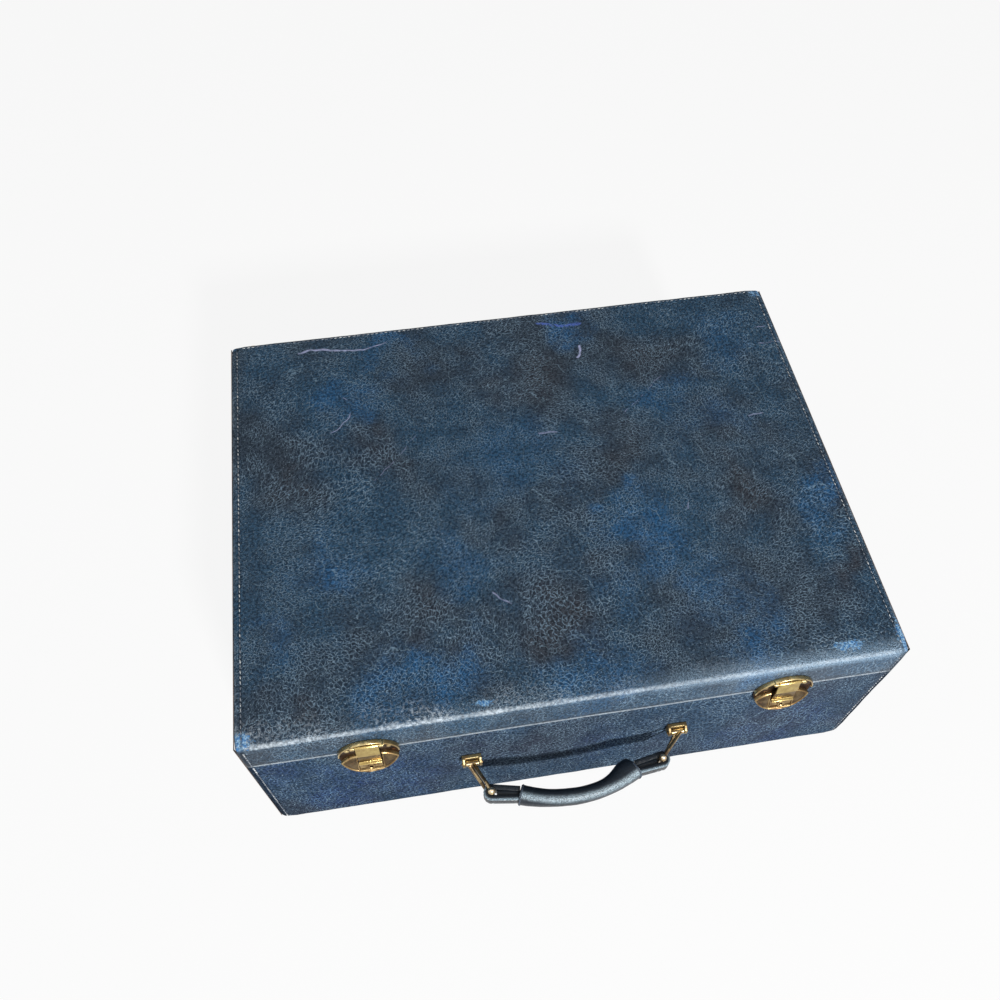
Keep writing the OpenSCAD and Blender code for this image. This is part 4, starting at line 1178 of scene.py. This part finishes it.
def link(name, side):
    """Two legs from the bracket's pin to the eyes above and below the strap."""
    pin, root_y = PINS[side], FRONT - BRACKET_PIN_OUT
    bm = bmesh.new()
    rod(bm, (side * BRACKET_X - 4.3, root_y, HANDLE_Z), (side * BRACKET_X + 4.3, root_y, HANDLE_Z), 1.95)
    for up in (-1, 1):
        root = Vector((side * (BRACKET_X + LEG_SHIFT) + up * LEG_SPREAD, root_y, HANDLE_Z))
        eye = pin + Vector((0, 0, up * EYE_Z))
        knee = eye + (Vector((root.x, root.y, eye.z)) - eye) * 7.0 / LINK_LEN
        rod(bm, root, knee, LEG_R * 1.08, LEG_R)
        ball(bm, knee, LEG_R * 1.02)
        rod(bm, knee, eye, LEG_R, LEG_R * 1.05)
        tall = Vector((0, 0, EYE_T / 2 - 0.1))
        rod(bm, eye - tall, eye + tall, EYE_R - 0.1)
    bm = cast(bm, 0.2, 3)
    finished(bm, "bail_link_" + name, "handle", LINK_BRASS, 40, ["handle_link_" + name])


def link_pins():
    half = EYE_Z + EYE_T / 2
    dome = [math.pi / 2 * i / 8 for i in range(9)]
    outline = [(0, -half - 0.3), (1.2, -half - 0.25), (1.5, -half), (1.5, half), (1.95, half)]
    outline += [(2.0 * math.cos(a), half + 0.2 + 1.9 * math.sin(a)) for a in dome]
    shapes = [turned(outline, Matrix.Translation(PINS[side]), 28) for side in (-1, 1)]
    finished(joined(*shapes), "ball_headed_pins", "handle", PALE_BRASS, 30, ["link_pins"])


def strap():
    """Each end of the strap comes out of the grip, folds round its pin and goes back in."""
    inner, root_in, pull_steps = EYE_PIN_R + 0.3, 1.15, 6
    shapes = []
    for side in (-1, 1):
        pin, root, along, across = loop_lay(side, 0.2)
        edge = []
        for i in range(11):
            a = math.pi * i / 10
            edge.append((inner + (LOOP_R - inner) * (1 - math.cos(a)) / 2, STRAP_W / 2 + 0.35 * math.sin(a)))
        outline = edge + [(out, -up) for out, up in reversed(edge)]
        bm = bmesh.new()
        verts, edges = ring_of(bm, [pin + across * out + Vector((0, 0, up)) for out, up in outline])

        def pull(edges):
            """Draws one end of the fold to the grip, a step at a time, and narrows the gap in it."""
            for _ in range(pull_steps):
                made = bmesh.ops.extrude_edge_only(bm, edges=edges)["geom"]
                for v in verts_in(made):
                    ply = math.copysign(1, (v.co - pin).dot(across))
                    v.co += ((root - pin) + across * ply * (root_in - inner)) / pull_steps
                edges = edges_in(made)
            bmesh.ops.contextual_create(bm, geom=edges)

        spun = bmesh.ops.spin(bm, geom=verts + edges, cent=pin, axis=(0, 0, -1), angle=math.pi, steps=20)
        pull(edges_in(spun["geom_last"]))
        pull(edges)
        tongue = bmesh.new()
        reach = pin - along * (EYE_PIN_R + 1.9)
        turn = Matrix((along, across, Vector((0, 0, 1)))).transposed().to_4x4()
        size = Matrix.Diagonal(((reach - root).length, 3.3, STRAP_W - 1.6, 1))
        bmesh.ops.create_cube(tongue, size=1, matrix=Matrix.Translation((root + reach) / 2) @ turn @ size)
        soften(tongue, 0.4, 2)
        shapes += [bm, tongue]
    bm = moved(joined(*shapes), HANDLE_FRAME)
    finished(bm, "strap_loops", "handle", STRAP_LEATHER, 50, ["handle_strap"])


def section(swell=1.0, points=44):
    """The grip's cross-section, as (outwards, up) pairs: a round that is drawn a little taller."""
    r, cap = GRIP_T / 2 * swell, (GRIP_H - GRIP_T) / 2
    made = []
    for i in range(points):
        a = 2 * math.pi * i / points
        taller = math.copysign(cap, math.sin(a)) * min(1, abs(math.sin(a)) * 3)
        made.append((r * math.cos(a), r * math.sin(a) + taller))
    return made


def swept(outline, start, end, steps):
    """An outline swept along the grip's bow between two angles from its middle."""
    bm = bmesh.new()
    turn = Matrix.Translation(GRIP_HEART) @ Matrix.Rotation(start - math.pi / 2, 4, "Z")
    verts, edges = ring_of(bm, [turn @ Vector((GRIP_ARC_R + out, 0, up)) for out, up in outline])
    bmesh.ops.spin(bm, geom=verts + edges, cent=GRIP_HEART, axis=(0, 0, 1), angle=end - start, steps=steps)
    return bm


def grip():
    """The padded grip: a stuffed leather tube, drawn in at each end, slim in the middle, with a hump
    at the back right."""
    bm = swept(section(), -GRIP_TURN, GRIP_TURN, 60)
    ends = [e for e in bm.edges if e.is_boundary]
    for shrink, out in ((0.93, 0.35), (0.80, 0.45), (0.62, 0.2)):
        made = bmesh.ops.extrude_edge_only(bm, edges=ends)["geom"]
        ends = [e for e in edges_in(made) if e.is_boundary]
        for v in {v for e in ends for v in e.verts}:
            s = math.copysign(1, v.co.x)
            middle = Vector((s * GRIP_HALF, -GRIP_END_OUT, 0))
            outwards = Vector((s * math.cos(GRIP_TURN), math.sin(GRIP_TURN), 0))
            off = v.co - middle
            off -= outwards * off.dot(outwards)
            v.co = middle + off * shrink + outwards * out
    bmesh.ops.holes_fill(bm, edges=[e for e in bm.edges if e.is_boundary], sides=0)
    for v in bm.verts:
        off = v.co - GRIP_HEART
        a = math.atan2(off.x, -off.y) / GRIP_TURN
        behind = Vector((-off.x, -off.y, 0)).normalized()
        middle = GRIP_HEART - behind * GRIP_ARC_R
        around = v.co - middle
        lump = 1 + 0.025 * noise.noise(v.co * 0.12) + 0.012 * noise.noise(v.co * 0.35)
        v.co = middle + around * lump * slimness(abs(a)) + behind * GRIP_SET * (1 - a ** 2)
        facing = around.normalized().dot(behind)
        if facing > 0 and a < 0.99:
            v.co += behind * math.exp(-(((a - 0.84) / 0.26) ** 2)) * facing ** 0.7 * 4.0
        v.co.y += end_lift(v.co.x)
    moved(bm, HANDLE_FRAME)
    replaced = ["grip_wrap", "grip_core"]
    piece = finished(bm, "grip_padding", "handle", GRIP_LEATHER, 50, replaced)


def grip_bands():
    """The turned edge round each end of the grip."""
    shapes = []
    for s in (-1, 1):
        edge = s * (GRIP_TURN - 0.012)
        start, end = sorted((edge, edge + s * 0.010))
        band = swept(section(0.985), start, end, 2)
        bmesh.ops.recalc_face_normals(band, faces=band.faces)
        bmesh.ops.solidify(band, geom=band.faces[:], thickness=-0.4)
        for v in band.verts:
            v.co.y += end_lift(v.co.x)
        soften(band, 0.12, 2, 50)
        shapes.append(band)
    bm = moved(joined(*shapes), HANDLE_FRAME)
    finished(bm, "grip_end_bands", "handle", TRIM_LEATHER, 40)


def handle_stitches():
    """The seam under the grip, and a row near each edge of the strap's loops."""
    bm = bmesh.new()
    count, margin = 26, 0.05
    for i in range(count):
        a = -GRIP_TURN + margin + (2 * GRIP_TURN - 2 * margin) * (i + 0.5) / count
        share = abs(a / GRIP_TURN)
        under = Vector((GRIP_ARC_R - GRIP_SET * (1 - share ** 2), 0, -GRIP_H / 2 * slimness(share)))
        turn = Matrix.Translation(GRIP_HEART) @ Matrix.Rotation(a - math.pi / 2, 4, "Z")
        place = turn @ Matrix.Translation(under)
        lift = Matrix.Translation((0, end_lift(place.translation.x), 0))
        place = lift @ place @ Matrix.Diagonal((0.35, 1.15, 0.35, 1))
        bmesh.ops.create_uvsphere(bm, u_segments=8, v_segments=6, radius=1, matrix=place)
    rows = [Vector((0, 0, up)) for up in (STRAP_W / 2 - 1.1, 1.1 - STRAP_W / 2)]
    for side in (-1, 1):
        pin, root, along, across = loop_lay(side)
        for out in (-across, across):
            for row in rows:
                start = root + out * (LOOP_R - 0.72) + along * 1.5 + row
                stitches(bm, start, pin + out * (LOOP_R - 0.06) + row, out, 2.4, 1.6, 0.3)
        for i in range(1, 6):
            out = Matrix.Rotation(-math.pi * i / 6, 3, "Z") @ across
            flow = Vector((-out.y, out.x, 0)) * 0.8
            for row in rows:
                middle = pin + out * (LOOP_R - 0.05) + row
                stitches(bm, middle - flow, middle + flow, out, 1.6, 1.6, 0.3)
    finished(moved(bm, HANDLE_FRAME), "handle_stitches", "handle", THREAD, 60)


for name, side in SIDES.items():
    bracket(name, side)
    link(name, side)
link_pins()
strap()
grip()
grip_bands()
handle_stitches()


# Stage, light and camera


def pale_floor():
    """White wherever the camera or a mirror sees it lit, and darker under the case."""
    f = Finish("pale_floor", 0.9, Specular_IOR_Level=0.1)
    f.done(f.mix(f.noise(4), tone(196, 197, 198), tone(202, 202, 202)))
    paths = f.node("ShaderNodeLightPath").outputs
    seen = f.most([paths["Is Camera Ray"], paths["Is Glossy Ray"], paths["Is Transmission Ray"]])
    white = f.node("ShaderNodeEmission", {"Color": (1, 1, 1), "Strength": 1.0}).outputs[0]
    share = {0: f.times(seen, 0.90), 1: f.shader.outputs[0], 2: white}
    both = f.node("ShaderNodeMixShader", share).outputs[0]
    f.tree.links.new(both, f.tree.nodes["Material Output"].inputs["Surface"])
    return f.material


def floor():
    bm = bmesh.new()
    bmesh.ops.create_grid(bm, x_segments=1, y_segments=1, size=6)
    mesh = as_mesh(bm, "floor")
    mesh.materials.append(pale_floor())
    obj = placed("floor", mesh)


def lamp(name, place, target, size, power, colour=(1, 1, 1)):
    data = bpy.data.lights.new(name, "AREA")
    data.shape, data.size, data.energy, data.color = "SQUARE", size, power, colour
    obj = placed(name, data)
    obj.location = place
    obj.rotation_euler = (Vector(target) - Vector(place)).to_track_quat("-Z", "Y").to_euler()


def soft_room():
    """A dim white light from all round, which the camera and the mirrors see as white."""
    world = bpy.data.worlds.new("soft_room")
    bpy.context.scene.world = world
    world.use_nodes = True
    tree = world.node_tree
    sky = tree.nodes["Background"]
    sky.inputs["Color"].default_value = (1, 1, 1, 1)
    paths = tree.nodes.new("ShaderNodeLightPath").outputs
    seen = paths["Is Camera Ray"]
    for kind in ("Is Glossy Ray", "Is Transmission Ray"):
        either = tree.nodes.new("ShaderNodeMath")
        either.operation = "MAXIMUM"
        tree.links.new(seen, either.inputs[0])
        tree.links.new(paths[kind], either.inputs[1])
        seen = either.outputs[0]
    level = tree.nodes.new("ShaderNodeMapRange")
    level.inputs["To Min"].default_value = 0.11
    tree.links.new(seen, level.inputs["Value"])
    tree.links.new(level.outputs[0], sky.inputs["Strength"])


def camera():
    """Stands where the photograph was taken from, as worked out from the corners of the case."""
    eye = bpy.data.cameras.new("camera")
    eye.lens, eye.sensor_width = 33.72, 36
    right, up = Vector((0.9878, -0.15561, 0.00672)), Vector((0.12778, 0.83433, 0.53625))
    ahead = Vector((0.08905, 0.52885, -0.84403))
    turn = Matrix((right, up, -ahead)).transposed().to_4x4()
    obj = placed("camera", eye)
    obj.matrix_world = Matrix.Translation((-0.08306, -0.34171, 0.68128)) @ turn
    bpy.context.scene.camera = obj


floor()
lamp("window", (0.40, -2.0, 1.45), (0, 0, 0.08), 0.24, 88, (1.0, 0.99, 0.97))
lamp("far_window", (-1.6, -0.3, 1.7), (0, 0, 0.1), 1.4, 8, (0.94, 0.97, 1.0))
soft_room()
camera()
bpy.context.scene.view_settings.view_transform = "Standard"
